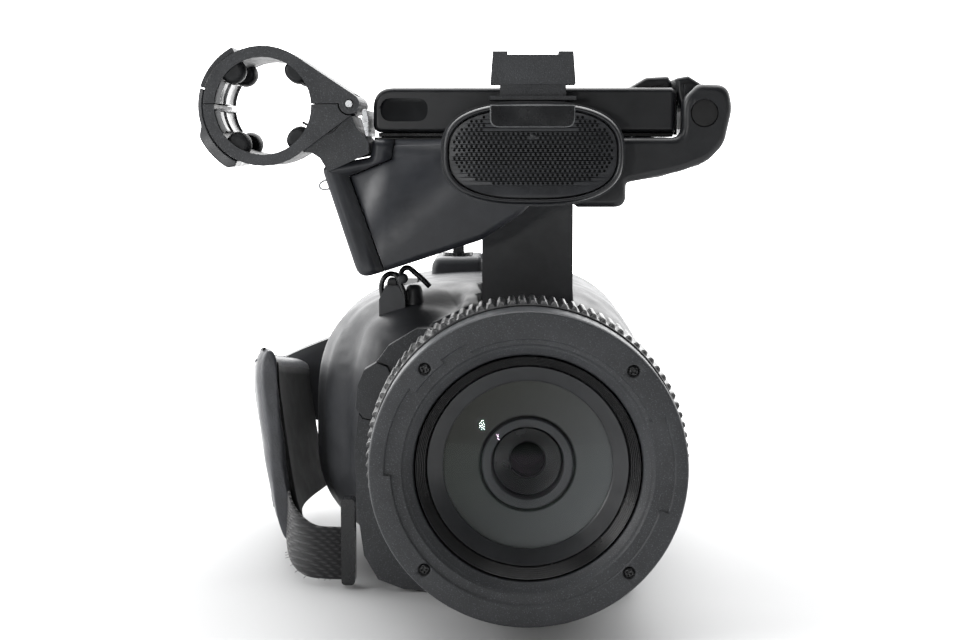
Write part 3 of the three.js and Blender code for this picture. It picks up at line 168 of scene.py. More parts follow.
def metal(name, color, roughness):
    """Brushed metal."""
    material, shader = new_material(name, color, roughness, metallic=1.0)
    fine = noise(material, 900.0, 4.0, 0.6)
    rough = scalar_ramp(material, fine, [(0.3, roughness - 0.06), (0.7, roughness + 0.1)])
    link(material, rough, shader.inputs["Roughness"])
    tone = ramp(material, noise(material, 90.0), [(0.3, tuple(c * 0.85 for c in color)), (0.7, color)])
    link(material, tone, shader.inputs["Base Color"])
    bump(material, shader, fine, 0.05, 0.0001)
    return material


def board(name):
    """Circuit board green with lighter tracks."""
    material, shader = new_material(name, (0.02, 0.16, 0.07), 0.4)
    tracks = add_node(material, "ShaderNodeTexBrick", Scale=180.0)
    tracks.inputs["Color1"].default_value = (0.015, 0.13, 0.05, 1)
    tracks.inputs["Color2"].default_value = (0.02, 0.2, 0.08, 1)
    tracks.inputs["Mortar"].default_value = (0.05, 0.26, 0.1, 1)
    link(material, coordinates(material), tracks.inputs["Vector"])
    link(material, tracks.outputs["Color"], shader.inputs["Base Color"])
    return material


def leather(name, color):
    """Soft black leather with fine creases."""
    material, shader = new_material(name, color, 0.4, specular=0.5)
    cells = add_node(material, "ShaderNodeTexVoronoi", Scale=620.0)
    cells.feature = "DISTANCE_TO_EDGE"
    link(material, coordinates(material), cells.inputs["Vector"])
    creases = scalar_ramp(material, cells.outputs["Distance"], [(0.0, 0.0), (0.12, 1.0)])
    bump(material, shader, creases, 0.3, 0.0002)
    light = tuple(c * 1.5 for c in color)
    tone = ramp(material, noise(material, 120.0, 5.0), [(0.35, color), (0.75, light)])
    link(material, tone, shader.inputs["Base Color"])
    shader.inputs["Sheen Weight"].default_value = 0.15
    return material


def woven(name, color):
    """Flat webbing: ribs along the strap crossed by picks."""
    material, shader = new_material(name, color, 0.8, specular=0.3)
    place = coordinates(material)
    ribs = add_node(material, "ShaderNodeTexWave", Scale=260.0, Distortion=0.6)
    ribs.bands_direction = "Z"
    picks = add_node(material, "ShaderNodeTexWave", Scale=200.0, Distortion=0.8)
    picks.bands_direction = "DIAGONAL"
    for wave in (ribs, picks):
        link(material, place, wave.inputs["Vector"])
    weave = add_node(material, "ShaderNodeMath", operation="MULTIPLY")
    link(material, ribs.outputs["Fac"], weave.inputs[0])
    link(material, picks.outputs["Fac"], weave.inputs[1])
    light = tuple(c * 2.6 + 0.01 for c in color)
    tone = ramp(material, weave.outputs[0], [(0.2, color), (0.9, light)])
    link(material, tone, shader.inputs["Base Color"])
    bump(material, shader, weave.outputs[0], 0.8, 0.0005)
    shader.inputs["Sheen Weight"].default_value = 0.3
    return material


def glass(name, alpha, tint, roughness=0.0):
    """Coated glass: mostly clear, with a tinted reflection."""
    material, shader = new_material(name, (0.0, 0.0, 0.0), roughness, specular=1.0)
    shader.inputs["Specular Tint"].default_value = (*tint, 1)
    shader.inputs["Alpha"].default_value = alpha
    return material


def dish_with_painted_light(name):
    """The dish behind the front glass, with painted light: olive and darker at the upper left, grey and lighter
    at the lower right, where the hollow faces the light; with a ring.
    """
    material, shader = new_material(name, (0.05, 0.05, 0.05), 0.42, specular=0.3)
    # Painted light: the colour goes from the darker olive at the upper left to the lighter grey at the lower
    # right.
    split = add_node(material, "ShaderNodeSeparateXYZ")
    link(material, coordinates(material), split.inputs[0])
    slope = add_node(material, "ShaderNodeMath", operation="SUBTRACT")
    link(material, split.outputs["X"], slope.inputs[0])
    link(material, split.outputs["Z"], slope.inputs[1])
    painted_light_share = add_node(material, "ShaderNodeMapRange")
    painted_light_share.inputs["From Min"].default_value = -0.094
    painted_light_share.inputs["From Max"].default_value = -0.02
    link(material, slope.outputs[0], painted_light_share.inputs["Value"])
    olive, pale = (0.046, 0.047, 0.04), (0.125, 0.132, 0.137)
    shade = ramp(material, painted_light_share.outputs["Result"], [(0.0, olive), (1.0, pale)])
    around = add_node(material, "ShaderNodeVectorMath", operation="DISTANCE")
    flat = add_node(material, "ShaderNodeCombineXYZ")
    link(material, split.outputs["X"], flat.inputs["X"])
    link(material, split.outputs["Z"], flat.inputs["Z"])
    link(material, flat.outputs[0], around.inputs[0])
    around.inputs[1].default_value = (LENS_AXIS[0] * MM, 0.0, LENS_AXIS[1] * MM)
    radius = add_node(material, "ShaderNodeMath", operation="MULTIPLY")
    radius.inputs[1].default_value = 25.0
    link(material, around.outputs["Value"], radius.inputs[0])
    grey = (0.085, 0.089, 0.093)
    rings = ramp(
        material,
        radius.outputs[0],
        [(0.0, (0.012,) * 3), (0.29, (0.014,) * 3), (0.298, grey), (0.364, grey), (0.374, (0.008,) * 3)],
    )
    mix = add_node(material, "ShaderNodeMix", data_type="RGBA")
    outer = scalar_ramp(material, radius.outputs[0], [(0.385, 0.0), (0.4, 1.0)])
    link(material, outer, mix.inputs["Factor"])
    link(material, rings, mix.inputs[6])
    link(material, shade, mix.inputs[7])
    link(material, mix.outputs[2], shader.inputs["Base Color"])
    rough = scalar_ramp(material, noise(material, 300.0, 4.0), [(0.3, 0.38), (0.7, 0.46)])
    link(material, rough, shader.inputs["Roughness"])
    return material


LOOKS = {
    "body_shell": moulded("body_plastic", (0.028, 0.0295, 0.033), 0.46, 2600.0, 0.0, 0.16),
    "rough_black": moulded("grained_plastic", (0.03, 0.032, 0.0355), 0.48, 1900.0, 0.35, 0.4),
    "satin_black": moulded("satin_plastic", (0.0095, 0.0104, 0.0125), 0.36, 3000.0, 0.0, 0.12),
    "anchor": moulded("anchor_plastic", (0.036, 0.038, 0.042), 0.46, 2200.0, 0.0, 0.2),
    "gloss_black": moulded("smooth_plastic", (0.011, 0.0117, 0.013), 0.22, 3200.0, 0.0, 0.06),
    "ring_rubber": rubbery("ring_rubber", (0.012, 0.0125, 0.0135), 0.34),
    "lens_black": moulded("anodised_black", (0.009, 0.0095, 0.0105), 0.3, 3200.0, 0.0, 0.05),
    "lens_glass": glass("front_glass_coat", 0.1, (0.72, 1.0, 0.9)),
    "screen": moulded("screen_glass", (0.006, 0.006, 0.008), 0.08, 3000.0, 0.0, 0.01),
    "steel": metal("plain_steel", (0.56, 0.57, 0.58), 0.28),
    "grille": moulded("grille_paint", (0.024, 0.0255, 0.029), 0.4, 3000.0, 0.0, 0.1),
    "circuit_board": board("circuit_board"),
    "record_red": moulded("red_plastic", (0.38, 0.02, 0.02), 0.3, 1800.0, 0.0, 0.1),
    "strap_leather": leather("strap_leather", (0.04, 0.042, 0.048)),
    "webbing": woven("webbing", (0.010, 0.010, 0.011)),
    "rear_glass": glass("rear_glass_coat", 0.08, (1.0, 0.6, 0.92)),
    "lens_dish": dish_with_painted_light("lens_dish"),
    # Pale grey for a painted highlight round the microphone's badge.
    "painted_badge_highlight": moulded("painted_badge_highlight", (0.16, 0.165, 0.17), 0.35, 2600.0, 0.0, 0.05),
    "thread_black": moulded("thread_black", (0.0045, 0.0045, 0.005), 0.22, 3200.0, 0.0, 0.02),
    "cone_black": moulded("cone_black", (0.026, 0.0275, 0.03), 0.33, 3200.0, 0.0, 0.03),
    "box_plastic": moulded("box_plastic", (0.0235, 0.0255, 0.031), 0.36, 3000.0, 0.0, 0.1),
    "band_plastic": moulded("band_plastic", (0.036, 0.038, 0.042), 0.34, 2600.0, 0.0, 0.08),
    "black_cap": moulded("black_cap", (0.0022, 0.0022, 0.0024), 0.6, 2600.0, 0.0, 0.05),
    "clear_plastic": moulded("clear_plastic", (0.42, 0.43, 0.44), 0.2, 2600.0, 0.0, 0.05),
    "foam": moulded("foam", (0.0035, 0.0035, 0.004), 0.9, 900.0, 0.0, 0.4),
    "pad_rubber": rubbery("pad_rubber", (0.013, 0.014, 0.0155), 0.55),
    "pale_plastic": moulded("pale_plastic", (0.36, 0.365, 0.37), 0.4, 2600.0, 0.0, 0.05),
    "thread": moulded("sewing_thread", (0.035, 0.037, 0.042), 0.6, 3000.0, 0.0, 0.2),
}
SLOT_OF = {part["node"]: part["material_slot"] for part in frame["record"]["subparts"]}


def wear(obj, slot):
    """obj takes the look of a material slot."""
    obj.data.materials.clear()
    obj.data.materials.append(LOOKS[slot])


# ------------------------------------------------------------------ mesh builders

def make_object(name, verts, faces, smooth=True):
    """A new object from points in millimetres."""
    mesh = bpy.data.meshes.new(name)
    mesh.from_pydata([tuple(c * MM for c in v) for v in verts], [], faces)
    mesh.validate()
    bm = bmesh.new()
    bm.from_mesh(mesh)
    bmesh.ops.remove_doubles(bm, verts=bm.verts, dist=1e-6)
    bmesh.ops.recalc_face_normals(bm, faces=bm.faces)
    bm.to_mesh(mesh)
    bm.free()
    mesh.polygons.foreach_set("use_smooth", [smooth] * len(mesh.polygons))
    obj = bpy.data.objects.new(name, mesh)
    bpy.context.scene.collection.objects.link(obj)
    return obj


def soften(obj, width=0.6, segments=2, angle=32.0):
    """Rounds an object's sharp edges by width millimetres and keeps its flats flat."""
    flat = obj.modifiers.new("flat", "DECIMATE")
    flat.decimate_type = "DISSOLVE"
    flat.angle_limit = math.radians(2.0)
    edge = obj.modifiers.new("edge", "BEVEL")
    edge.width = width * MM
    edge.segments = segments
    edge.limit_method = "ANGLE"
    edge.angle_limit = math.radians(angle)
    edge.harden_normals = False
    normals = obj.modifiers.new("normals", "WEIGHTED_NORMAL")
    normals.keep_sharp = True
    obj.data.polygons.foreach_set("use_smooth", [True] * len(obj.data.polygons))
    return obj


# ------------------------------------------------------------------ outlines
def between(a, b, share):
    return tuple(p + (q - p) * share for p, q in zip(a, b))


def smooth_step(low, high, value):
    """0 at low, 1 at high, with a soft start and end."""
    share = min(1.0, max(0.0, (value - low) / (high - low)))
    return share * share * (3 - 2 * share)


class Outline(list):
    """A list of points that remembers the corners it was rounded from."""

    corners = None
    steps = 0


def rounded(corners, steps=6):
    """An outline through corners of (a, b, radius), each rounded by about its radius."""
    points = Outline()
    points.corners = corners
    points.steps = steps
    count = len(corners)
    for i, (a, b, radius) in enumerate(corners):
        here = Vector((a, b))
        before = Vector(corners[i - 1][:2]) - here
        after = Vector(corners[(i + 1) % count][:2]) - here
        half = before.angle(after) / 2
        reach = min(max(radius, 0.02) / math.tan(half), before.length * 0.49, after.length * 0.49)
        first = here + before.normalized() * reach
        last = here + after.normalized() * reach
        for k in range(steps + 1):
            t = k / steps
            points.append(tuple(first * (1 - t) ** 2 + here * 2 * t * (1 - t) + last * t * t))
    return points


def area_of(points):
    pairs = zip(points, points[1:] + points[:1])
    return sum(a[0] * b[1] - b[0] * a[1] for a, b in pairs) / 2


def moved_in(points, distance):
    """Each point's place after the outline moved inwards by distance, and whether its corner is convex."""
    sign = 1 if area_of(points) > 0 else -1
    moved = []
    count = len(points)
    for i, point in enumerate(points):
        here = Vector(point)
        one = (here - Vector(points[i - 1])).normalized()
        two = (Vector(points[(i + 1) % count]) - here).normalized()
        first = Vector((-one.y, one.x)) * sign
        second = Vector((-two.y, two.x)) * sign
        share = max(0.35, 1 + first.dot(second))
        convex = (one.x * two.y - one.y * two.x) * sign > 0
        moved.append((here + (first + second) * (distance / share), convex))
    return moved


def inset(points, distance):
    """An outline moved inwards by distance. Rounded corners keep their centres."""
    if getattr(points, "corners", None) is None:
        return [tuple(place) for place, _ in moved_in(points, distance)]
    radii = [radius for _, _, radius in points.corners]
    places = moved_in([corner[:2] for corner in points.corners], distance)
    corners = []
    for radius, (place, convex) in zip(radii, places):
        corners.append((place.x, place.y, radius - distance if convex else radius + distance))
    return rounded(corners, points.steps)


def circle(a, b, radius, count=32):
    turn = 2 * math.pi / count
    return [(a + radius * math.cos(turn * i), b + radius * math.sin(turn * i)) for i in range(count)]


# ------------------------------------------------------------------ solids
def skin(count, rings, caps=True):
    """Faces over rings of count points each, with the first and last ring closed if caps is set."""
    faces = []
    for low in range(0, (rings - 1) * count, count):
        for i in range(count):
            j = (i + 1) % count
            faces.append((low + i, low + j, low + count + j, low + count + i))
    if caps:
        faces += [tuple(range(count)), tuple(range((rings - 1) * count, rings * count))]
    return faces


def weighted(obj):
    """Flat faces keep their flat look beside rounded edges."""
    normals = obj.modifiers.new("normals", "WEIGHTED_NORMAL")
    normals.keep_sharp = True
    obj.data.polygons.foreach_set("use_smooth", [True] * len(obj.data.polygons))
    return obj


AXES = {"x": lambda a, b, c: (c, a, b), "y": lambda a, b, c: (a, c, b), "z": lambda a, b, c: (a, b, c)}


def slab(name, outline, start, end, front=0.5, back=None, axis="y", steps=4):
    """An outline run along an axis from start to end, its two rims rounded by front and back millimetres."""
    back = front if back is None else back
    rings = []
    for k in range(steps + 1):
        turn = math.pi / 2 * k / steps
        rings.append((front * (1 - math.sin(turn)), start + front * (1 - math.cos(turn))))
    for k in range(steps + 1):
        turn = math.pi / 2 * (1 - k / steps)
        rings.append((back * (1 - math.sin(turn)), end - back * (1 - math.cos(turn))))
    verts = []
    for shrink, place in rings:
        verts += [AXES[axis](a, b, place) for a, b in inset(outline, shrink)]
    return weighted(make_object(name, verts, skin(len(outline), len(rings))))


def block(name, low, high, edge=0.5, axis="y"):
    """A box with rounded edges, from its lowest to its highest corner."""
    order = {"x": (1, 2, 0), "y": (0, 2, 1), "z": (0, 1, 2)}[axis]
    a, b, c = order
    places = [(low[a], low[b]), (high[a], low[b]), (high[a], high[b]), (low[a], high[b])]
    corners = [(*place, edge) for place in places]
    return slab(name, rounded(corners, 4), low[c], high[c], edge, axis=axis)


def spun(name, columns, centre=LENS_AXIS):
    """Columns of (degrees, profile of (radius, y)), turned round an axis along Y through centre (x, z)."""
    rows = len(columns[0][1])
    verts = []
    for degrees, profile in columns:
        turn = math.radians(degrees)
        verts += [(centre[0] + r * math.cos(turn), y, centre[1] + r * math.sin(turn)) for r, y in profile]
    faces = []
    for i in range(len(columns)):
        j = (i + 1) % len(columns)
        for k in range(rows):
            m = (k + 1) % rows
            faces.append((i * rows + k, i * rows + m, j * rows + m, j * rows + k))
    return weighted(make_object(name, verts, faces))


def lathe(name, profile, centre=LENS_AXIS, steps=128):
    return spun(name, [(360 * i / steps, profile) for i in range(steps)], centre)


def joined(name, objects):
    """Several objects as one mesh, left as separate shells."""
    bm = bmesh.new()
    for obj in objects:
        bake(obj)
        bm.from_mesh(obj.data)
        bpy.data.objects.remove(obj)
    mesh = bpy.data.meshes.new(name)
    bm.to_mesh(mesh)
    bm.free()
    obj = bpy.data.objects.new(name, mesh)
    bpy.context.scene.collection.objects.link(obj)
    return weighted(obj)


def boolean(obj, cutter, operation="DIFFERENCE"):
    """Cuts or joins another object for good, and removes that object."""
    obj.modifiers.clear()
    bake(cutter)
    change = obj.modifiers.new("cut", "BOOLEAN")
    change.operation = operation
    change.object = cutter
    change.solver = "EXACT"
    bake(obj)
    bpy.data.objects.remove(cutter)
    return weighted(obj)


def bake(obj):
    """Applies an object's modifiers."""
    graph = bpy.context.evaluated_depsgraph_get()
    graph.update()
    mesh = bpy.data.meshes.new_from_object(obj.evaluated_get(graph))
    obj.modifiers.clear()
    obj.data = mesh


def copy_of(node, name):
    """A CAD node's shape as a new object."""
    obj = bpy.data.objects.new(name, NODES[node].data.copy())
    bpy.context.scene.collection.objects.link(obj)
    return obj


def wire(name, points, radius, resolution=6):
    """A round wire through points in millimetres."""
    curve = bpy.data.curves.new(name, "CURVE")
    curve.dimensions = "3D"
    curve.bevel_depth = radius * MM
    curve.bevel_resolution = 3
    curve.resolution_u = resolution
    curve.use_fill_caps = True
    spline = curve.splines.new("NURBS")
    spline.points.add(len(points) - 1)
    for knot, point in zip(spline.points, points):
        knot.co = (*(c * MM for c in point), 1)
    spline.order_u = 3
    spline.use_endpoint_u = True
    obj = bpy.data.objects.new(name, curve)
    bpy.context.scene.collection.objects.link(obj)
    return mesh_from(obj)


def mesh_from(obj):
    """Turns a curve object into a mesh object of the same name."""
    graph = bpy.context.evaluated_depsgraph_get()
    graph.update()
    mesh = bpy.data.meshes.new_from_object(obj.evaluated_get(graph))
    name = obj.name
    bpy.data.objects.remove(obj)
    made = bpy.data.objects.new(name, mesh)
    bpy.context.scene.collection.objects.link(made)
    mesh.polygons.foreach_set("use_smooth", [True] * len(mesh.polygons))
    return made


def piece(obj, slot, body="camera", nodes=(), look=None):
    """obj takes a slot's look, moves with a body, and stands for the CAD nodes named."""
    wear(obj, slot)
    if look:
        obj.data.materials.clear()
        obj.data.materials.append(look)
    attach(obj, body)
    if nodes:
        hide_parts(*nodes)
    return obj


# ------------------------------------------------------------------ camera, light and stage
CAMERA_PLACE = (-9.904, -707.997, 157.468)
CAMERA_FORWARD = (-0.00954, 0.99527, -0.09667)
FLOOR_REACH = 3000.0
FLOOR_DROP = 0.2


def point_at(obj, place, forward):
    """Puts a camera or lamp at a place in metres, looking along forward."""
    obj.location = place
    obj.rotation_mode = "QUATERNION"
    obj.rotation_quaternion = Vector(forward).to_track_quat("-Z", "Y")


def add_camera():
    scene = bpy.context.scene
    camera = bpy.data.objects.new("camera", bpy.data.cameras.new("camera"))
    scene.collection.objects.link(camera)
    camera.data.sensor_width = 36.0
    camera.data.lens = 66.79
    camera.data.clip_start = 0.05
    point_at(camera, Vector(CAMERA_PLACE) * MM, CAMERA_FORWARD)
    scene.camera = camera


def add_floor():
    """A pale floor that fades into the background behind the object."""
    reach = FLOOR_REACH
    corners = [(-reach, -reach, 0), (reach, -reach, 0), (reach, reach, 0), (-reach, reach, 0)]
    floor = make_object("floor", corners, [(0, 1, 2, 3)])
    floor.location.z = -FLOOR_DROP * MM
    paint, shader = new_material("floor_white", (0.52, 0.523, 0.526), 0.7)
    rough = scalar_ramp(paint, noise(paint, 8.0), [(0.3, 0.66), (0.7, 0.74)])
    link(paint, rough, shader.inputs["Roughness"])
    place = add_node(paint, "ShaderNodeSeparateXYZ")
    link(paint, coordinates(paint), place.inputs[0])
    fade = add_node(paint, "ShaderNodeMapRange", interpolation_type="SMOOTHSTEP")
    fade.inputs["From Min"].default_value = 0.05
    fade.inputs["From Max"].default_value = 0.7
    fade.inputs["To Min"].default_value = 1.0
    fade.inputs["To Max"].default_value = 0.0
    link(paint, place.outputs["Y"], fade.inputs["Value"])
    link(paint, fade.outputs["Result"], shader.inputs["Alpha"])
    floor.data.materials.append(paint)


def add_world():
    """A studio that is dark behind the camera and bright behind the object."""
    world = bpy.data.worlds.new("studio")
    bpy.context.scene.world = world
    world.use_nodes = True
    tree = world.node_tree
    place = tree.nodes.new("ShaderNodeTexCoord")
    split = tree.nodes.new("ShaderNodeSeparateXYZ")
    tree.links.new(place.outputs["Generated"], split.inputs[0])
    shade = tree.nodes.new("ShaderNodeMapRange")
    shade.inputs["From Min"].default_value = -0.35
    shade.inputs["From Max"].default_value = 0.45
    shade.inputs["To Min"].default_value = 0.07
    shade.inputs["To Max"].default_value = 3.4
    tree.links.new(split.outputs["Y"], shade.inputs["Value"])
    background = tree.nodes["Background"]
    background.inputs["Color"].default_value = (1.0, 1.0, 1.0, 1)
    tree.links.new(shade.outputs["Result"], background.inputs["Strength"])


def soft_light(name, place, target, size, power):
    """A rectangular area light in metres, facing a target."""
    data = bpy.data.lights.new(name, "AREA")
    data.shape = "RECTANGLE"
    data.size, data.size_y = size
    data.energy = power
    lamp = bpy.data.objects.new(name, data)
    bpy.context.scene.collection.objects.link(lamp)
    point_at(lamp, place, Vector(target) - Vector(place))
    return lamp


def add_lights():
    soft_light("overhead", (0.0, 0.1, 1.2), (0, 0, 0.1), (1.2, 1.0), 9.0)
    soft_light("back_box", (0.0, 1.0, 0.85), (0, 0, 0.1), (1.8, 0.8), 4.0)
    soft_light("left_fill", (-1.15, -0.5, 0.5), (0, -0.05, 0.1), (0.5, 0.7), 8.0)
    # The small lamp that the lens glasses mirror.
    glint = soft_light("left_box", (-0.345, -1.13, 0.203), (0, -0.14, 0.06), (0.045, 0.07), 1.5)
    glint.visible_diffuse = False


bpy.context.scene.view_settings.view_transform = "Standard"
add_camera()
add_floor()
add_world()
add_lights()

# ------------------------------------------------------------------ every CAD node's finish
EDGE = {
    "front_bezel": 1.2,
    "bezel_tab": 0.8,
    "clamp_upper": 0.7,
    "clamp_lower": 0.7,
    "clamp_latch": 0.5,
    "handle_bar": 2.4,
    "handle_post": 1.2,
    "battery": 1.4,
    "rear_cover": 1.4,
    "viewfinder": 2.2,
    "eyecup": 1.6,
    "strap_anchor": 1.6,
    "mic_housing": 1.5,
    "shoe_mount": 0.45,
    "base_plate": 0.8,
}
for name, obj in NODES.items():
    wear(obj, SLOT_OF[name])
    low, high = mm_box(name)
    thinnest = min(high - low)
    soften(obj, min(EDGE.get(name, 0.6), thinnest * 0.25), 3)

# ------------------------------------------------------------------ lens: front ring
RING_FACE = -155.0
# The outline of the recess in the ring's face: from and to in degrees, and its radius.
RECESS = [
    (-17, 22, 46.0),
    (22, 116, 41.5),
    (116, 128, 44.3),
    (128, 145, 43.0),
    (145, 182, 45.3),
    (182, 343, 43.2),
]


def ring_profile(reach):
    """The front ring cut through where the recess reaches out to a radius."""
    return [
        (50.6, -139.0),
        (50.6, RING_FACE + 1.1),
        (50.35, RING_FACE + 0.45),
        (49.75, RING_FACE),
        (reach + 0.6, RING_FACE),
        (reach + 0.25, RING_FACE + 0.2),
        (reach + 0.05, RING_FACE + 0.55),
        (reach, RING_FACE + 1.0),
        (40.3, RING_FACE + 1.0),
        (39.9, RING_FACE + 1.25),
        (39.7, RING_FACE + 1.9),
        (39.0, RING_FACE + 1.95),
        (38.7, RING_FACE + 2.2),
        (36.9, RING_FACE + 3.4),
        (36.3, RING_FACE + 4.2),
        (36.3, -139.0),
    ]


columns = []
for start, end, reach in RECESS:
    steps = max(2, round((end - start) / 2))
    for i in range(steps + 1):
        degrees = start + 0.04 + (end - start - 0.08) * i / steps
        columns.append((degrees, ring_profile(reach)))
front_ring = spun("front_ring_shape", columns)
SCREW_PLACES = [(-32.6, 88.3), (32.9, 87.7), (-32.9, 24.3), (32.0, 23.4)]
for x, z in SCREW_PLACES:
    boolean(front_ring, slab("pocket", circle(x, z, 2.1, 24), RING_FACE - 1, RING_FACE + 1.5, 0.0))
piece(front_ring, "rough_black", "camera", ["front_ring"])


def screw_head(name, x, z, y, radius=1.75, turn=0.0):
    """A rounded screw head with a cross in it, facing -Y."""
    profile = [(0, y), (radius * 0.55, y + 0.05), (radius * 0.9, y + 0.28), (radius, y + 0.6)]
    profile += [(radius, y + 1), (0, y + 1)]
    head = lathe(name, profile, (x, z), 28)
    for side in (turn, turn + 90):
        arm = block("arm", (-radius * 0.62, y - 1, -0.28), (radius * 0.62, y + 0.65, 0.28), 0.0)
        arm.data.transform(Matrix.Rotation(math.radians(side), 4, "Y"))
        arm.data.transform(Matrix.Translation((x * MM, 0, z * MM)))
        boolean(head, arm)
    return head


heads = []
for i, (x, z) in enumerate(SCREW_PLACES):
    heads.append(screw_head("head", x, z, RING_FACE + 0.25, turn=17 + 31 * i))
piece(joined("front_ring_screws", heads), "lens_black")

# ------------------------------------------------------------------ lens: thread, cone, dish and glass
thread = [(36.0, -150.7)]
for turn in range(6):
    y, r = -151.2 + 0.62 * turn, 35.7 - 0.52 * turn
    thread += [(r, y), (r - 0.12, y + 0.05), (r - 0.42, y + 0.45), (r - 0.46, y + 0.6)]
thread += [(32.3, -147.2), (32.3, -146.2), (36.0, -146.2)]
thread = lathe("filter_thread", thread, steps=160)
piece(thread, "lens_black", "camera", ["filter_ring"], LOOKS["thread_black"])
cone = [(32.25, -147.3), (31.9, -147.25), (27.9, -144.75), (27.35, -144.5), (27.2, -144.2)]
cone += [(27.2, -143.8), (32.25, -143.8)]
piece(lathe("lens_cone", cone, steps=160), "lens_black", look=LOOKS["cone_black"])
dish = lathe(
    "lens_baffle",
    [
        (36.0, -143.5),
        (27.9, -143.5),
        (27.0, -143.2),
        (24.0, -142.5),
        (20.0, -141.9),
        (15.9, -141.5),
        (15.6, -141.2),
        (15.4, -140.4),
        (14.8, -140.4),
        (14.7, -141.3),
        (14.3, -141.6),
        (12.0, -141.2),
        (11.8, -140.8),
        (11.5, -137.0),
        (10.2, -136.4),
        (9.6, -131.0),
        (8.4, -130.6),
        (7.4, -124.0),
        (6.4, -123.6),
        (5.6, -112.0),
        (0.0, -111.6),
        (0.0, -96.0),
        (36.0, -96.0),
    ],
    steps=144,
)
piece(dish, "lens_black", "camera", ["inner_barrel"], LOOKS["lens_dish"])
cell_rings = lathe(
    "lens_cell",
    [
        (10.9, -136.9),
        (10.7, -137.3),
        (6.2, -135.2),
        (5.9, -134.6),
        (5.8, -133.8),
        (6.0, -133.6),
        (10.9, -136.0),
    ],
    steps=96,
)
piece(cell_rings, "lens_black")


def dome(name, radius, front, sag, steps=96):
    """The front face of a round glass, part of a sphere."""
    ball = (radius * radius + sag * sag) / (2 * sag)
    verts = [(LENS_AXIS[0], front, LENS_AXIS[1])]
    faces = []
    rows = 14
    for i in range(steps):
        turn = 2 * math.pi * i / steps
        for k in range(1, rows + 1):
            r = radius * k / rows
            y = front + ball - math.sqrt(ball * ball - r * r)
            verts.append((LENS_AXIS[0] + r * math.cos(turn), y, LENS_AXIS[1] + r * math.sin(turn)))
        low, high = 1 + i * rows, 1 + (i + 1) % steps * rows
        faces.append((0, low, high))
        faces += [(low + k, low + k + 1, high + k + 1, high + k) for k in range(rows - 1)]
    return make_object(name, verts, faces)


piece(dome("front_glass", 27.2, -148.4, 4.0), "lens_glass", "camera", ["front_element"])
cell = dome("cell_glass", 14.5, -143.5, 1.84, 64)
piece(cell, "lens_glass", "camera", ["inner_element"], LOOKS["rear_glass"])
piece(dome("deep_glass", 5.7, -134.9, 0.9, 48), "lens_glass", look=LOOKS["rear_glass"])


# ------------------------------------------------------------------ lens: the three ribbed rings
RIB = [0.0, 0.08, 0.75, 1.0, 1.0, 1.0, 0.75, 0.08]


def ribbed_ring(name, node, outer, start, end, ribs, depth):
    """A rubber ring with rounded ribs across it and a plain band at each end."""
    floor = outer - depth
    columns = []
    for i in range(ribs * len(RIB)):
        rise = RIB[i % len(RIB)]
        top = floor + depth * rise
        rows = [
            (41.95, start),
            (floor - 0.5, start),
            (floor - 0.1, start + 0.35),
            (floor, start + 0.9),
            (floor + depth * rise * 0.15, start + 1.3),
            (floor + depth * rise * 0.8, start + 1.7),
            (top, start + 2.5),
            (top, end - 2.3),
            (floor + depth * rise * 0.8, end - 1.6),
            (floor, end - 1.0),
            (floor, end - 0.4),
            (floor - 0.5, end),
            (41.95, end),
        ]
        columns.append((360 * i / (ribs * len(RIB)), rows))
    ring = spun(name, columns)
    return piece(ring, "ring_rubber", node, [node])


ribbed_ring("focus_ribs", "focus_ring", 52.6, -138.0, -114.0, 96, 1.3)
ribbed_ring("zoom_ribs", "zoom_ring", 49.5, -112.8, -100.3, 90, 1.1)
ribbed_ring("iris_ribs", "iris_ring", 47.5, -99.1, -89.1, 86, 1.0)

# ------------------------------------------------------------------ microphone
MIC_X = 2.0
MIC_Z = 155.2
MIC_HALF = (30.0, 16.7)


def mic_outline(grow, count=132):
    points = []
    for i in range(count):
        turn = 2 * math.pi * (i + 0.5) / count
        c, s = math.cos(turn), math.sin(turn)
        x = MIC_X + math.copysign((MIC_HALF[0] + grow) * abs(c) ** (2 / 2.7), c)
        z = MIC_Z + math.copysign((MIC_HALF[1] + grow) * abs(s) ** (2 / 2.7), s)
        points.append((x, z))
    return points


def swept_ring(name, outline_at, profile):
    """A closed profile of (grow, y) carried round an outline."""
    count = len(outline_at(0))
    verts = []
    for grow, y in profile:
        verts += [(x, y, z) for x, z in outline_at(grow)]
    rows = len(profile)
    faces = []
    for k in range(rows):
        m = (k + 1) % rows
        for i in range(count):
            j = (i + 1) % count
            faces.append((k * count + i, k * count + j, m * count + j, m * count + i))
    return weighted(make_object(name, verts, faces))


rim = swept_ring(
    "mic_rim_shape",
    mic_outline,
    [
        (0, -112.4),
        (0, -115.2),
        (-0.15, -116.1),
        (-0.55, -116.8),
        (-1.1, -117.0),
        (-1.55, -116.7),
        (-1.8, -116.0),
        (-1.85, -112.4),
    ],
)
piece(rim, "satin_black", "camera", ["mic_rim"])


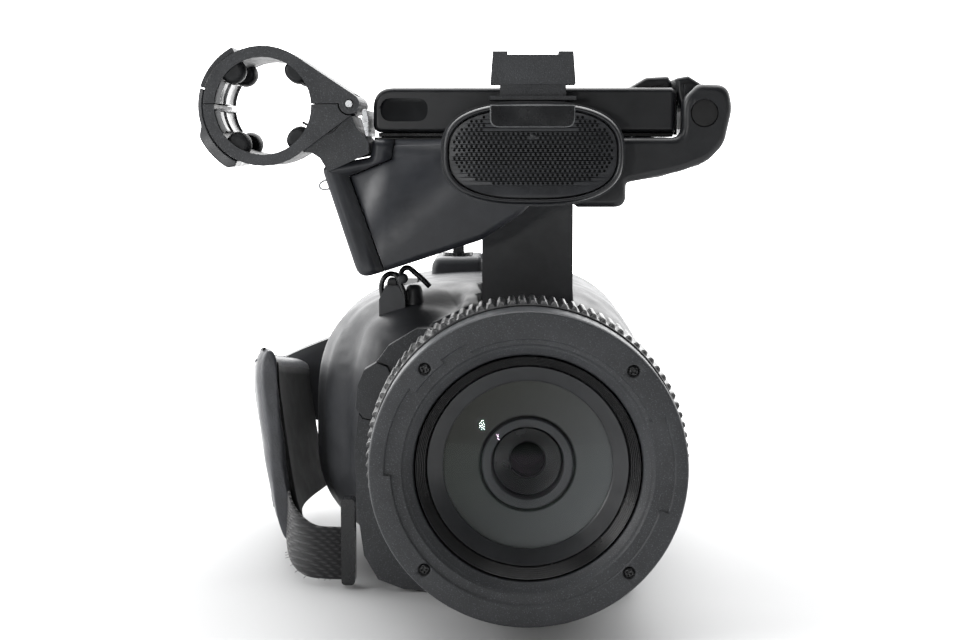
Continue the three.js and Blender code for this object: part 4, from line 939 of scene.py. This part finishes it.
def perforated(name, outline, holes, radius, thickness):
    """A flat plate in X and Z with round holes through it, its front at y = 0."""
    curve = bpy.data.curves.new(name, "CURVE")
    curve.dimensions = "2D"
    curve.fill_mode = "BOTH"
    curve.extrude = thickness / 2 * MM
    for points in [outline] + [circle(x, z, radius, 9) for x, z in holes]:
        spline = curve.splines.new("POLY")
        spline.points.add(len(points) - 1)
        for knot, (x, z) in zip(spline.points, points):
            knot.co = (x * MM, z * MM, 0, 1)
        spline.use_cyclic_u = True
    obj = bpy.data.objects.new(name, curve)
    bpy.context.scene.collection.objects.link(obj)
    obj = mesh_from(obj)
    for vertex in obj.data.vertices:
        x, z, y = vertex.co
        vertex.co = (x, y + thickness / 2 * MM, z)
    obj.data.flip_normals()
    obj.data.polygons.foreach_set("use_smooth", [False] * len(obj.data.polygons))
    return obj


def grille_bend(x):
    """How far the grille falls back at x, from a flat middle."""
    beyond = max(0.0, abs(x - MIC_X) - 12)
    return 0.005 * beyond * beyond


HOLE_PITCH = (1.63, 1.36)
holes = []
for row in range(19):
    z = 145.5 + HOLE_PITCH[1] * row
    for step in range(-18, 19):
        x = MIC_X + HOLE_PITCH[0] * (step + 0.5 * (row % 2))
        across = abs(x - MIC_X) / 26.4
        up = abs(z - MIC_Z) / (14.0 if z > MIC_Z else 10.4)
        beside_badge = z < 162.3 or not -14.0 < x < 16.6
        beside_mark = math.hypot(x - MIC_X, z - 161.2) > 1.7
        if across**2.7 + up**2.7 < 1 and beside_badge and beside_mark:
            holes.append((x, z))
grille = perforated("mic_grille_shape", mic_outline(-2.25), holes, 0.5, 0.6)
for vertex in grille.data.vertices:
    vertex.co.y += (-116.5 + grille_bend(vertex.co.x / MM)) * MM
piece(grille, "grille", "camera", ["mic_grille"])


def foam_sheet(name, rows=10):
    """A dark layer just behind the grille, with the grille's own curve."""
    verts = []
    for k in range(rows):
        for x, z in mic_outline(-2.3 - 1.4 * k):
            verts.append((x, -115.75 + grille_bend(x), z))
    count = len(verts) // rows
    middle = tuple(range((rows - 1) * count, rows * count))
    sheet = make_object(name, verts, [middle] + skin(count, rows, caps=False))
    solid = sheet.modifiers.new("thick", "SOLIDIFY")
    solid.thickness = 0.5 * MM
    solid.offset = -1 if sheet.data.polygons[0].normal.y < 0 else 1
    return sheet


piece(foam_sheet("mic_foam"), "lens_black", look=LOOKS["foam"])


def badge_outline(grow):
    top, low = 171.3 + grow, 163.9 - grow
    left, right = -12.3 - grow, 15.8 + grow
    return rounded([(left, top, 0.5), (right, top, 0.5), (right, low, 3), (left, low, 3)])


# Painted highlight: a thin pale grey rim round the black badge stands for the light on the badge's edge.
edge = slab("mic_badge_edge", badge_outline(0.0), -117.15, -115.6, 0.15)
piece(edge, "body_shell", look=LOOKS["painted_badge_highlight"])
piece(slab("mic_badge", badge_outline(-0.3), -117.3, -115.7, 0.15), "gloss_black")
mark = [(0, -116.72), (0.9, -116.72), (1.0, -116.6), (1.0, -116.3), (0, -116.3)]
piece(lathe("mic_mark", mark, (MIC_X, 161.2), 24), "satin_black")

# ------------------------------------------------------------------ folding screen
LID_RIGHT = 50.7
LID_LEFT = -52.2
LID_LOW = 162.4
LID_TOP = 177.6
lid = [(LID_LEFT, LID_LOW, 3), (LID_RIGHT, LID_LOW, 0.8), (LID_RIGHT, LID_TOP, 2), (LID_LEFT, LID_TOP, 7)]
lid = slab("lid_shape", rounded(lid, 8), -97.0, -33.0, 1.7)
slot_corners = [(-49.7, 166.2, 3.8), (-33.6, 166.2, 3.8), (-33.6, 174.1, 3.8), (-49.7, 174.1, 3.8)]
slot_cut = slab("slot", rounded(slot_corners), -98.0, -94.6, 0.0)
for vertex in slot_cut.data.vertices:
    if vertex.co.y > -0.096:
        vertex.co.y += ((vertex.co.z / MM - 174) * 0.26 + (vertex.co.x / MM + 41) * -0.05) * MM
boolean(lid, slot_cut)
piece(lid, "satin_black", "lcd_panel", ["lcd_back"])
wedge = [(33.0, 175.5, 0), (34.5, 177.2, 5), (41.5, 181.4, 2.5), (49.2, 181.8, 1), (50.4, 179.5, 1.5)]
wedge = rounded(wedge + [(50.4, 175.5, 0)])
piece(slab("lid_wedge", wedge, -88.0, -42.0, 1.6), "satin_black", "lcd_panel")
kept = block("keep", (-50.6, -95.3, 160.9), (50.2, -34.6, 162.35), 0.3)
under = boolean(copy_of("lcd_frame", "screen_frame"), kept, "INTERSECT")
piece(under, "gloss_black", "lcd_panel", ["lcd_frame"])
piece(block("deck_pad", (-52.0, -95.4, 159.9), (44.0, -42.0, 160.82), 0.3), "lens_black")
hinge = [(53.2, 170, 0), (51.6, 176, 0), (51.2, 181.0, 0.8), (55.6, 181.8, 1.2), (61.5, 178.2, 4)]
hinge = rounded(hinge + [(61.5, 170, 0)])
piece(slab("hinge_cap", hinge, -92.0, -40.0, 1.4), "satin_black", "lcd_hinge_block")

shadow = block("hinge_shadow", (51.2, -88.0, 161.6), (52.2, -50.0, 176.0), 0.3)
piece(shadow, "gloss_black", "lcd_hinge_block")

# ------------------------------------------------------------------ the screen's arm
cheek_outline = rounded(
    [
        (1.7, 138.0, 0.5),
        (16.4, 138.0, 0.5),
        (17.4, 137.1, 0.5),
        (33.8, 137.1, 7),
        (33.9, 145.4, 1.5),
        (42.1, 147.0, 20),
        (52.3, 149.2, 30),
        (61.5, 152.6, 12),
        (67.0, 158.6, 10),
        (69.6, 170.5, 12),
        (68.0, 178.4, 7),
        (58.0, 178.7, 4),
        (52.6, 173.5, 8),
        (52.4, 160.7, 3.5),
        (1.7, 160.7, 0.5),
    ],
    8,
)
cheek = slab("arm_cheek", cheek_outline, -103.0, -97.35, 2.4, 0.3, steps=6)
boolean(cheek, slab("cup", circle(60.1, 168.9, 4.8, 40), -104, -101.6, 0.0))
boolean(cheek, slab("hole", circle(59.9, 169.9, 2.5, 24), -104, -96, 0.0))
piece(cheek, "satin_black", "camera", ["lcd_arm"])
kept = block("keep", (-5, -97.3, 120), (80, -44.9, 190), 0.0)
rear_arm = boolean(copy_of("lcd_arm", "arm_rear"), kept, "INTERSECT")
piece(soften(rear_arm, 0.8, 3), "satin_black")
wear(NODES["lcd_hinge_pin"], "gloss_black")
wear(NODES["strap_bracket"], "gloss_black")
plug = [(0, -102.62), (4.2, -102.6), (4.5, -102.45), (4.6, -102.2), (4.6, -101.65), (0, -101.65)]
piece(lathe("arm_plug", plug, (60.1, 168.9), 48), "gloss_black", "camera", (), LOOKS["black_cap"])

# ------------------------------------------------------------------ audio input box
box_outline = rounded(
    [
        (-52.4, 160.1, 2.4),
        (-52.9, 154.1, 1.0),
        (-69.7, 151.0, 2.6),
        (-57.0, 112.6, 4.6),
        (-48.1, 115.2, 10),
        (-15.0, 126.0, 10),
        (-2.1, 134.5, 4),
        (1.4, 137.6, 2.4),
        (1.4, 160.1, 2.4),
    ]
)
cover_zone = [
    (-80, 170),
    (-44.8, 170),
    (-44.8, 160.1),
    (-45.8, 153.5),
    (-60.1, 147.6),
    (-48.4, 115.1),
    (-46.5, 105),
    (-80, 105),
]
housing = slab("xlr_housing_shape", box_outline, -103.0, -40.0, 2.4, steps=6)
boolean(housing, slab("zone", inset(cover_zone, -0.35), -110, -30, 0.0))
boolean(housing, block("post_room", (-15.5, -75.3, 90), (40, -20, 180), 0.0))
for x, z in ((-43, 133.0), (-26.4, 146.4)):
    boolean(housing, slab("jack_hole", circle(x, z, 9.3, 40), -64, -30, 0.0))
piece(housing, "satin_black", "camera", ["xlr_housing"], LOOKS["box_plastic"])
cover = slab("xlr_cover_shape", box_outline, -103.5, -39.4, 2.4, steps=6)
boolean(cover, slab("zone", cover_zone, -110, -30, 0.0), "INTERSECT")
piece(cover, "satin_black", "camera", ["xlr_cover"], LOOKS["box_plastic"])
loop = [(-67.2, 146.6), (-69.8, 145.8), (-70.6, 144.0), (-69.2, 142.8), (-66.4, 143.4)]
piece(wire("clear_loop", [(x, -101.0, z) for x, z in loop], 0.35), "lens_glass", look=LOOKS["clear_plastic"])

# ------------------------------------------------------------------ clamp details
CLAMP = (-88.7, 171.2)


def pad(name, body, degrees, y, reach=3.2, out=15.4):
    """A rounded rubber pad on the bore's wall."""
    bm = bmesh.new()
    bmesh.ops.create_uvsphere(bm, u_segments=28, v_segments=18, radius=1)
    size = Matrix.Diagonal((reach * MM, 6.4 * MM, 4.3 * MM, 1))
    turn = math.radians(degrees)
    place = Matrix.Translation(
        ((CLAMP[0] + out * math.cos(turn)) * MM, y * MM, (CLAMP[1] + out * math.sin(turn)) * MM)
    )
    bm.transform(place @ Matrix.Rotation(-turn, 4, "Y") @ size)
    mesh = bpy.data.meshes.new(name)
    bm.to_mesh(mesh)
    bm.free()
    for vertex in mesh.vertices:
        vertex.co.y = min((y + 4.4) * MM, max((y - 4.4) * MM, vertex.co.y))
    obj = bpy.data.objects.new(name, mesh)
    bpy.context.scene.collection.objects.link(obj)
    return piece(weighted(obj), "ring_rubber", body, look=LOOKS["pad_rubber"])


for row, y in enumerate((-101.5, -72.0)):
    for name, body, degrees, reach in (
        ("upper_left", "clamp_upper", 131, 4.2),
        ("upper_right", "clamp_upper", 46, 3.1),
        ("lower_left", "camera", 236, 4.2),
        ("lower_right", "camera", 317, 3.3),
    ):
        pad(f"clamp_pad_{name}_{row + 1}", body, degrees, y, reach)


def liner(name, start, end, y0, y1, inner=15.2, outer=16.25):
    """A curved strip lining the bore between two angles."""
    points = []
    for i in range(13):
        turn = math.radians(start + (end - start) * i / 12)
        points.append((CLAMP[0] + outer * math.cos(turn), CLAMP[1] + outer * math.sin(turn)))
    for i in range(13):
        turn = math.radians(end + (start - end) * i / 12)
        points.append((CLAMP[0] + inner * math.cos(turn), CLAMP[1] + inner * math.sin(turn)))
    return slab(name, points, y0, y1, 0.0)


for body, start, end in (("clamp_upper", 148, 177), ("camera", 184, 214)):
    half = "upper" if body == "clamp_upper" else "lower"
    piece(liner(f"clamp_liner_{half}", start, end, -104.5, -67.5), "gloss_black", body)
    for k, y in enumerate((-105.6, -92.0, -68.0)):
        rib = liner(f"clamp_rib_{half}_{k + 1}", start, end, y, y + 1.2, 14.6, 16.2)
        piece(rib, "steel", body, look=LOOKS["pale_plastic"])
ledge = liner("clamp_ledge", 183.4, 186.4, -106.0, -67.0, 13.9, 16.2)
piece(ledge, "steel", look=LOOKS["pale_plastic"])
spring = [(-55.4, 170.0, 0.4), (-53.9, 170.0, 0.4), (-53.2, 167, 1), (-53.2, 161.0, 0.4), (-54.4, 161.0, 0.4)]
spring = rounded(spring + [(-55.6, 166.6, 1)])
piece(slab("clamp_spring", spring, -104.0, -70.0, 0.25), "steel")


def latch_outline():
    """The band round the clamp: thicker where it becomes the thumb tab."""
    outer, inner = [], []
    for i in range(41):
        degrees = 164.5 + 79 * i / 40
        turn = math.radians(degrees)
        reach = 22.3 + 2.0 * smooth_step(196, 207, degrees) - 1.6 * smooth_step(238, 243.5, degrees)
        outer.append((CLAMP[0] + reach * math.cos(turn), CLAMP[1] + reach * math.sin(turn)))
        inner.append((CLAMP[0] + 20.7 * math.cos(turn), CLAMP[1] + 20.7 * math.sin(turn)))
    return outer + inner[::-1]


band = slab("latch_band", latch_outline(), -103.6, -68.4, 0.5)
piece(band, "satin_black", "clamp_latch", ["clamp_latch"], LOOKS["band_plastic"])
groove = []
for i in range(11):
    turn = math.radians(121 + 4 * i)
    groove.append((CLAMP[0] + 20.5 * math.cos(turn), -104.1, CLAMP[1] + 20.5 * math.sin(turn)))
piece(wire("clamp_groove", groove, 0.4), "lens_black", "clamp_upper")
seam = [(-75.0, 166.0), (-70.9, 163.9), (-66.5, 161.4), (-62.4, 165.4), (-60.6, 168.3)]
piece(wire("clamp_foot_seam", [(x - 0.5, -105.0, z - 0.2) for x, z in seam], 0.45), "lens_black")

# ------------------------------------------------------------------ body shells
BODY_FRONT, BODY_BACK, BODY_BOTTOM = -80.0, 85.0, 3.2
MIDDLE_Z, GRIP_LEFT, BODY_RIGHT, BODY_TOP = 50.0, 78.0, 48.0, 108.0
# Share of the body's length, then the shares of the grip, the right side and the height.
STATIONS = [
    (0, 0.731, 0.917, 0.935),
    (0.085, 0.808, 0.958, 0.963),
    (0.182, 0.949, 0.979, 0.986),
    (0.255, 1, 1, 0.995),
    (0.455, 1, 1, 1),
    (0.667, 0.949, 1, 1),
    (0.861, 0.846, 0.958, 0.981),
    (1, 0.769, 0.917, 0.944),
]
SHOULDER_GROOVE = [(-26, 104), (-35.5, 99.5), (-42.5, 93), (-47.5, 88), (-50.5, 80), (-51.0, 70)]
GRIP_SEAM = [(-65.5, 92.5), (-65.9, 80), (-64.6, 70.5)]


def body_share(y):
    """The three shares at a place along the body, without corners between the stations."""
    at = min(1.0, max(0.0, (y - BODY_FRONT) / (BODY_BACK - BODY_FRONT)))
    for low, high in zip(STATIONS, STATIONS[1:]):
        if at <= high[0]:
            straight = (at - low[0]) / (high[0] - low[0])
            return between(low[1:], high[1:], (smooth_step(low[0], high[0], at) + straight) * 0.5)
    return STATIONS[-1][1:]


def path_distance(point, path):
    """How far a point is from a path of points."""
    here = Vector(point)
    best = 1e9
    for a, b in zip(path, path[1:]):
        start, run = Vector(a), Vector(b) - Vector(a)
        share = min(1.0, max(0.0, (here - start).dot(run) / run.length_squared))
        best = min(best, (here - start - run * share).length)
    return best


def body_point(y, turn, sunk):
    """A point of the body's skin, sunk under it by some millimetres, with the shoulder's relief."""
    left, right, top = body_share(y)
    c, s = math.cos(turn), math.sin(turn)
    power = 2 / ((2.6 if c > 0 else 3.5) if s > 0 else 2.8)
    reach = (right * BODY_RIGHT if c > 0 else left * GRIP_LEFT) - sunk
    height = (top * BODY_TOP - MIDDLE_Z if s > 0 else MIDDLE_Z - BODY_BOTTOM) - sunk
    x = math.copysign(reach * abs(c) ** power, c)
    z = MIDDLE_Z + math.copysign(height * abs(s) ** power, s)
    front = 1 - smooth_step(-62, -34, y)
    lift = 2.6 * math.exp(-(((x + 54) / 9) ** 2) - ((z - 93) / 9) ** 2)
    lift -= 5.2 * math.exp(-((path_distance((x, z), SHOULDER_GROOVE) / 3.0) ** 2))
    lift -= 0.8 * math.exp(-((path_distance((x, z), GRIP_SEAM) / 0.5) ** 2))
    away = Vector((x, z - MIDDLE_Z)).normalized()
    return x + away.x * lift * front, y, z + away.y * lift * front


def body_skin(name, points=200):
    places = [(BODY_FRONT, 4.0), (BODY_FRONT + 0.5, 2.2), (BODY_FRONT + 1.4, 1.0), (BODY_FRONT + 2.8, 0.3)]
    places += [(BODY_FRONT + 4.5 + i * 2.2, 0.0) for i in range(26)]
    places += [(-16 + i * 5.2, 0.0) for i in range(19)]
    places += [(BODY_BACK - 2.4, 0.3), (BODY_BACK - 1.0, 1.0), (BODY_BACK, 2.4)]
    verts = []
    for y, sunk in places:
        verts += [body_point(y, 2 * math.pi * (i + 0.5) / points, sunk) for i in range(points)]
    return make_object(name, verts, skin(points, len(places)))


def add_body_cuts(shell):
    """The openings for the lens, the handle's post and the grip's rocker."""
    boolean(shell, slab("lens_hole", circle(0, 56, 41.9, 96), -90, -66, 0.0))
    boolean(shell, block("post_hole", (-15.5, -75.3, 98), (17.3, -44.7, 120), 0.0))
    boolean(shell, block("rocker_hole", (-51.8, -28, 92), (-40.2, 4, 120), 0.0))
    return shell


for node, keep in (("left_housing", (-120, -0.12)), ("right_housing", (0.12, 120))):
    shell = body_skin(node + "_shape")
    half = block("half", (keep[0], -200, -50), (keep[1], 200, 200), 0.0)
    boolean(shell, half, "INTERSECT")
    add_body_cuts(shell)
    piece(shell, "body_shell", "camera", [node])
hump = rounded([(-36.6, 96, 0), (-36.0, 113.4, 4.5), (-15.5, 113.4, 2.4), (-14.8, 96, 0)], 8)
piece(slab("shoulder_hump", hump, 4.0, 44.0, 2.6, 5.0, steps=6), "body_shell")
foot = rounded([(-41, 100, 0), (-36.6, 106.9, 5), (-15, 107.6, 0.5), (-15, 100, 0)], 8)
piece(slab("hump_step", foot, -3.0, 50.0, 3.0, 6.0, steps=6), "body_shell")

# ------------------------------------------------------------------ hooks and loops on the shoulder
column = lathe(
    "shoulder_post",
    [(0, 0), (1.6, 0.1), (2.6, 0.9), (3.1, 2.4), (3.6, 6.0), (4.6, 11.0), (0, 11.0)],
    (0, 0),
    40,
)
column.data.transform(Matrix.Rotation(math.radians(-90), 4, "X"))
column.data.transform(Matrix.Translation((-0.0402, -0.060, 0.1076)))
piece(column, "body_shell")
hook = [(-50.6, -64.5, 100.6), (-52.0, -65.0, 105.0), (-51.6, -65.2, 109.6), (-49.4, -65.0, 111.8)]
hook += [(-47.6, -64, 111.8), (-45.8, -65.0, 111.2), (-44.6, -65.4, 107.6), (-43.0, -65.2, 103.6)]
hook += [(-43.4, -64.4, 100.4)]
piece(wire("strap_hook", hook, 1.0), "gloss_black", "camera", ["strap_ring"])
arch = [(-46.0, -57, 107.5), (-45.3, -57.5, 112.4), (-42.6, -57.6, 114.0), (-40.0, -57.6, 111.8)]
arch += [(-36.6, -57.4, 108.8), (-34.6, -57, 106.6)]
piece(wire("strap_arch", arch, 1.0), "gloss_black")
cap = rounded([(-50.4, 105.2, 0.6), (-45.6, 105.2, 0.6), (-46.2, 110.2, 1.6), (-49.6, 110.2, 1.6)])
piece(slab("lug_cap", cap, -63.8, -59.0, 0.7), "body_shell")
collar = [(0, -67.2), (1.0, -67.2), (1.7, -66.9), (1.9, -66.4), (1.9, -65.8), (0, -65.8)]
piece(lathe("lug_collar", collar, (-43.9, 110.2), 28), "body_shell")

# ------------------------------------------------------------------ hand strap: padded leather
PAD_X, PAD_FRONT, PAD_BACK, PAD_LOW = -90.0, -60.0, 52.0, 12.6
PAD_EDGE = [
    (2.2, 13.4),
    (-1.2, 20),
    (-2.8, 27),
    (-5.0, 39),
    (-6.8, 54),
    (-8.6, 70),
    (-8.2, 80),
    (-5.4, 84.4),
    (-1.4, 82.0),
    (-0.6, 71),
    (1.6, 54),
    (3.6, 39),
    (5.8, 26),
    (8.6, 16.5),
    (6.4, 12.6),
]


def curve_between(before, start, end, after, t):
    """A point at share t of the smooth curve from start to end, bent by the points before and after."""
    square = (2 * before - 5 * start + 4 * end - after) * t * t
    cube = (3 * start - before - 3 * end + after) * t**3
    return 0.5 * (2 * start + (end - before) * t + square + cube)


def closed_spline(points, steps):
    """A smooth closed outline through points."""
    out = []
    count = len(points)
    for i in range(count):
        around = [Vector(points[(i + k) % count]) for k in (-1, 0, 1, 2)]
        out += [curve_between(*around, k / steps) for k in range(steps)]
    return out


def pad_point(outline, i, share):
    """A point of the pad: bowed outwards along its length, lower at the back and drawn in at its ends."""
    bow = 6.4 * math.sin(math.pi * min(1.0, max(0.0, share))) ** 1.3
    end = min(share, 1 - share)
    slim = 0.72 + 0.28 * smooth_step(0, 0.05, end)
    dx, z = outline[i]
    fall = 1 - 0.25 * share
    x = PAD_X + dx * slim - bow
    height = PAD_LOW + (z - PAD_LOW) * fall * (0.93 + 0.07 * slim)
    return Vector((x, PAD_FRONT + share * (PAD_BACK - PAD_FRONT), height))


def strap_pad():
    outline = closed_spline(PAD_EDGE, 6)
    count = len(outline)
    shares = [0.0, 0.006, 0.016, 0.03] + [0.05 + 0.9 * i / 44 for i in range(45)] + [0.97, 0.984, 0.994, 1.0]
    verts = []
    for share in shares:
        ring = [pad_point(outline, i, share) for i in range(count)]
        middle = sum(ring, Vector()) / count
        end = min(share, 1 - share)
        close = math.sqrt(max(0.0, 1 - (1 - min(1.0, end / 0.03)) ** 2)) * 0.45 + 0.55
        for i, point in enumerate(ring):
            tuck = close + (1 - close) * 0.85 * abs((point - middle).z) / 38
            x = middle.x + (point.x - middle.x) * min(1.0, tuck)
            wrinkle = 0.5 * hills.noise(Vector((point.y * 0.05, point.z * 0.09, 3.0)))
            verts.append((x - wrinkle, point.y, point.z))
    made = make_object("strap_pad_soft", verts, skin(count, len(shares)))
    made.modifiers.new("round", "SUBSURF").render_levels = 1
    made.modifiers["round"].levels = 1
    return made




def pad_lining(first=50, last=84):
    """The dark fabric on the pad's inner side."""
    outline = closed_spline(PAD_EDGE, 6)
    shares = [0.02 + 0.96 * k / 40 for k in range(41)]
    indices = range(first, last + 1, 2)
    verts = []
    for sideways in (0.7, -0.5):
        for share in shares:
            verts += [pad_point(outline, i, share) + Vector((sideways, 0, 0)) for i in indices]
    count = len(indices)
    layer = count * len(shares)
    faces = []
    for k in range(len(shares) - 1):
        for i in range(count - 1):
            a = k * count + i
            faces.append((a, a + 1, a + 1 + count, a + count))
            faces.append((a + layer, a + count + layer, a + 1 + count + layer, a + 1 + layer))
        for i in (0, count - 1):
            a = k * count + i
            faces.append((a, a + count, a + count + layer, a + layer))
    for k in (0, len(shares) - 1):
        for i in range(count - 1):
            a = k * count + i
            faces.append((a, a + 1, a + 1 + layer, a + layer))
    return make_object("pad_lining", [tuple(v) for v in verts], faces)


pad_body = strap_pad()
piece(pad_body, "strap_leather", "camera", ["strap_pad"])
piece(pad_lining(), "webbing", look=LOOKS["foam"])


def pad_line(name, index, sideways, shares, radius, slot):
    """A cord or a row of stitches on the pad, along its length."""
    outline = closed_spline(PAD_EDGE, 6)
    points = [pad_point(outline, index, share) + Vector((sideways, 0, 0)) for share in shares]
    return piece(wire(name, [tuple(p) for p in points], radius), slot)


along = [0.03 + 0.94 * i / 24 for i in range(25)]
pad_line("pad_piping_top", 41, 0.2, along, 0.8, "webbing")
pad_line("pad_piping_low", 86, 0.2, along, 0.8, "webbing")
stitches = []
for row, index in (("low", 10), ("top", 36)):
    outline = closed_spline(PAD_EDGE, 6)
    for k in range(34):
        share = 0.05 + 0.9 * k / 34
        a = pad_point(outline, index, share) + Vector((-0.15, 0, 0))
        b = pad_point(outline, index, share + 0.014) + Vector((-0.15, 0, 0))
        middle = (a + b) / 2 + Vector((-0.25, 0, 0))
        stitches.append(wire(f"stitch_{row}_{k}", [tuple(a), tuple(middle), tuple(b)], 0.22, resolution=2))
piece(joined("pad_stitches", stitches), "strap_leather", look=LOOKS["thread"])

# ------------------------------------------------------------------ hand strap: webbing
WEB_PATH = [(-87.4, -57), (-86.4, -62), (-84.6, -67.5), (-81.2, -73)]
WEB_PATH += [(-76, -77.4), (-69, -79.5), (-61.6, -79.8)]
WEB_THICK = 1.3


def open_spline(points, steps):
    """A smooth open path through points."""
    padded = [points[0]] + list(points) + [points[-1]]
    out = []
    for i in range(len(points) - 1):
        around = [Vector(padded[i + k]) for k in range(4)]
        out += [curve_between(*around, k / steps) for k in range(steps)]
    return out + [Vector(points[-1])]


def webbing():
    path = open_spline(WEB_PATH, 8)
    across = 26
    verts = []
    length = 0.0
    for i, place in enumerate(path):
        share = i / (len(path) - 1)
        ahead = path[min(i + 1, len(path) - 1)] - path[max(i - 1, 0)]
        side = Vector((ahead.y, -ahead.x)).normalized()
        if i:
            length += (place - path[i - 1]).length
        top = 31.0 - 9.5 * smooth_step(0.1, 0.75, share)
        low = 9.5 - 6.5 * smooth_step(0.0, 0.7, share)
        lean = 2.6 * smooth_step(0.2, 0.8, share)
        for face in (-0.5, 0.5):
            for k in range(across):
                up = k / (across - 1)
                rim = 1 - 0.35 * (abs(up - 0.5) * 2) ** 8
                ripple = 0.3 * math.sin(up * 5 + share * 6)
                spot = place + side * (WEB_THICK * face * rim + ripple - lean * (up - 0.5))
                verts.append((spot.x, spot.y, low + (top - low) * up))
    faces = []
    for i in range(len(path) - 1):
        for half in (0, across):
            for k in range(across - 1):
                a = i * across * 2 + half + k
                faces.append((a, a + 1, a + 1 + across * 2, a + across * 2))
        for k in (0, across - 1):
            a = i * across * 2 + k
            faces.append((a, a + across, a + across * 3, a + across * 2))
    for i in (0, len(path) - 1):
        for k in range(across - 1):
            a = i * across * 2 + k
            faces.append((a, a + 1, a + 1 + across, a + across))
    return make_object("webbing_band", verts, faces), length


band, band_length = webbing()
piece(band, "webbing", "camera", ["strap_webbing"])
fibres = []
web_points = open_spline(WEB_PATH, 8)
for k in range(20):
    share = random.uniform(0.1, 0.9)
    x, y = web_points[int(share * 47)]
    low = 9.5 - 6.5 * smooth_step(0.0, 0.7, share)
    start = (x, y, low + 0.4)
    middle = (x + random.uniform(-1, 1), y + random.uniform(-0.8, 0.4), low - random.uniform(0.2, 0.7))
    last = (x + random.uniform(-2, 2), y + random.uniform(-1.2, 0.6), low - random.uniform(0.2, 0.9))
    fibres.append(wire(f"fibre_{k}", [start, middle, last], 0.09, resolution=2))
fray = piece(joined("webbing_fray", fibres), "webbing")

# ------------------------------------------------------------------ back, top and sides
eye_rim = rounded([(-15, 140.5, 9), (15, 140.5, 9), (15, 164.5, 9), (-15, 164.5, 9)])
piece(slab("eye_lens", eye_rim, 139.8, 141.2, 0.6), "screen", "viewfinder")
for k in range(6):
    low = 22 + k * 7.5
    rib = rounded([(-20, low, 0.7), (20, low, 0.7), (20, low + 2, 0.7), (-20, low + 2, 0.7)])
    piece(slab(f"battery_rib_{k + 1}", rib, 117.6, 119.3, 0.5), "satin_black", "battery")
for k in range(9):
    y = -18 + k * 9
    piece(block(f"handle_grip_{k + 1}", (-12.0, y, 147.2), (13.8, y + 4.6, 150.3), 0.7), "ring_rubber")
plate = rounded([(-46, 24, 5), (42, 24, 5), (42, 72.5, 8), (-46, 72.5, 14)])
side_plate = slab("side_plate", plate, 46.2, 50.8, 0.9, 0.1, "x")
boolean(side_plate, block("slider_room", (40, -34.8, 33.2), (60, -19.2, 38.8), 0.0))
piece(side_plate, "satin_black", "camera", ["control_panel"])
SIDE_SCREWS = [(-58, 18), (-58, 84), (60, 20), (60, 84)]
side_heads = []
for k, (y, z) in enumerate(SIDE_SCREWS):
    head = screw_head(f"side_{k}", 0, 0, 0, 2.0, 20 * k)
    head.data.transform(Matrix.Rotation(math.radians(90), 4, "Z"))
    height = BODY_TOP - MIDDLE_Z if z > MIDDLE_Z else MIDDLE_Z - BODY_BOTTOM
    reach = body_share(y)[1] * BODY_RIGHT * (1 - (abs(z - MIDDLE_Z) / height) ** 2.7) ** (1 / 2.7)
    head.data.transform(Matrix.Translation(((reach + 0.1) * MM, y * MM, z * MM)))
    side_heads.append(head)
piece(joined("side_screws", side_heads), "lens_black")
pad_ribs = []
for k in range(7):
    z = 30 + k * 1.4
    pad_ribs.append(block("rib", (50.6, 4, z), (51.4, 36, z + 0.7), 0.2))
for row in range(3):
    for k in range(4):
        pad_ribs.append(slab("key", circle(-42 + k * 8.5, 46 + row * 9, 2.6, 24), 50.6, 51.8, 0.4, axis="x"))
piece(joined("side_keys", pad_ribs), "gloss_black")

# ------------------------------------------------------------------ the end
bpy.context.view_layer.update()
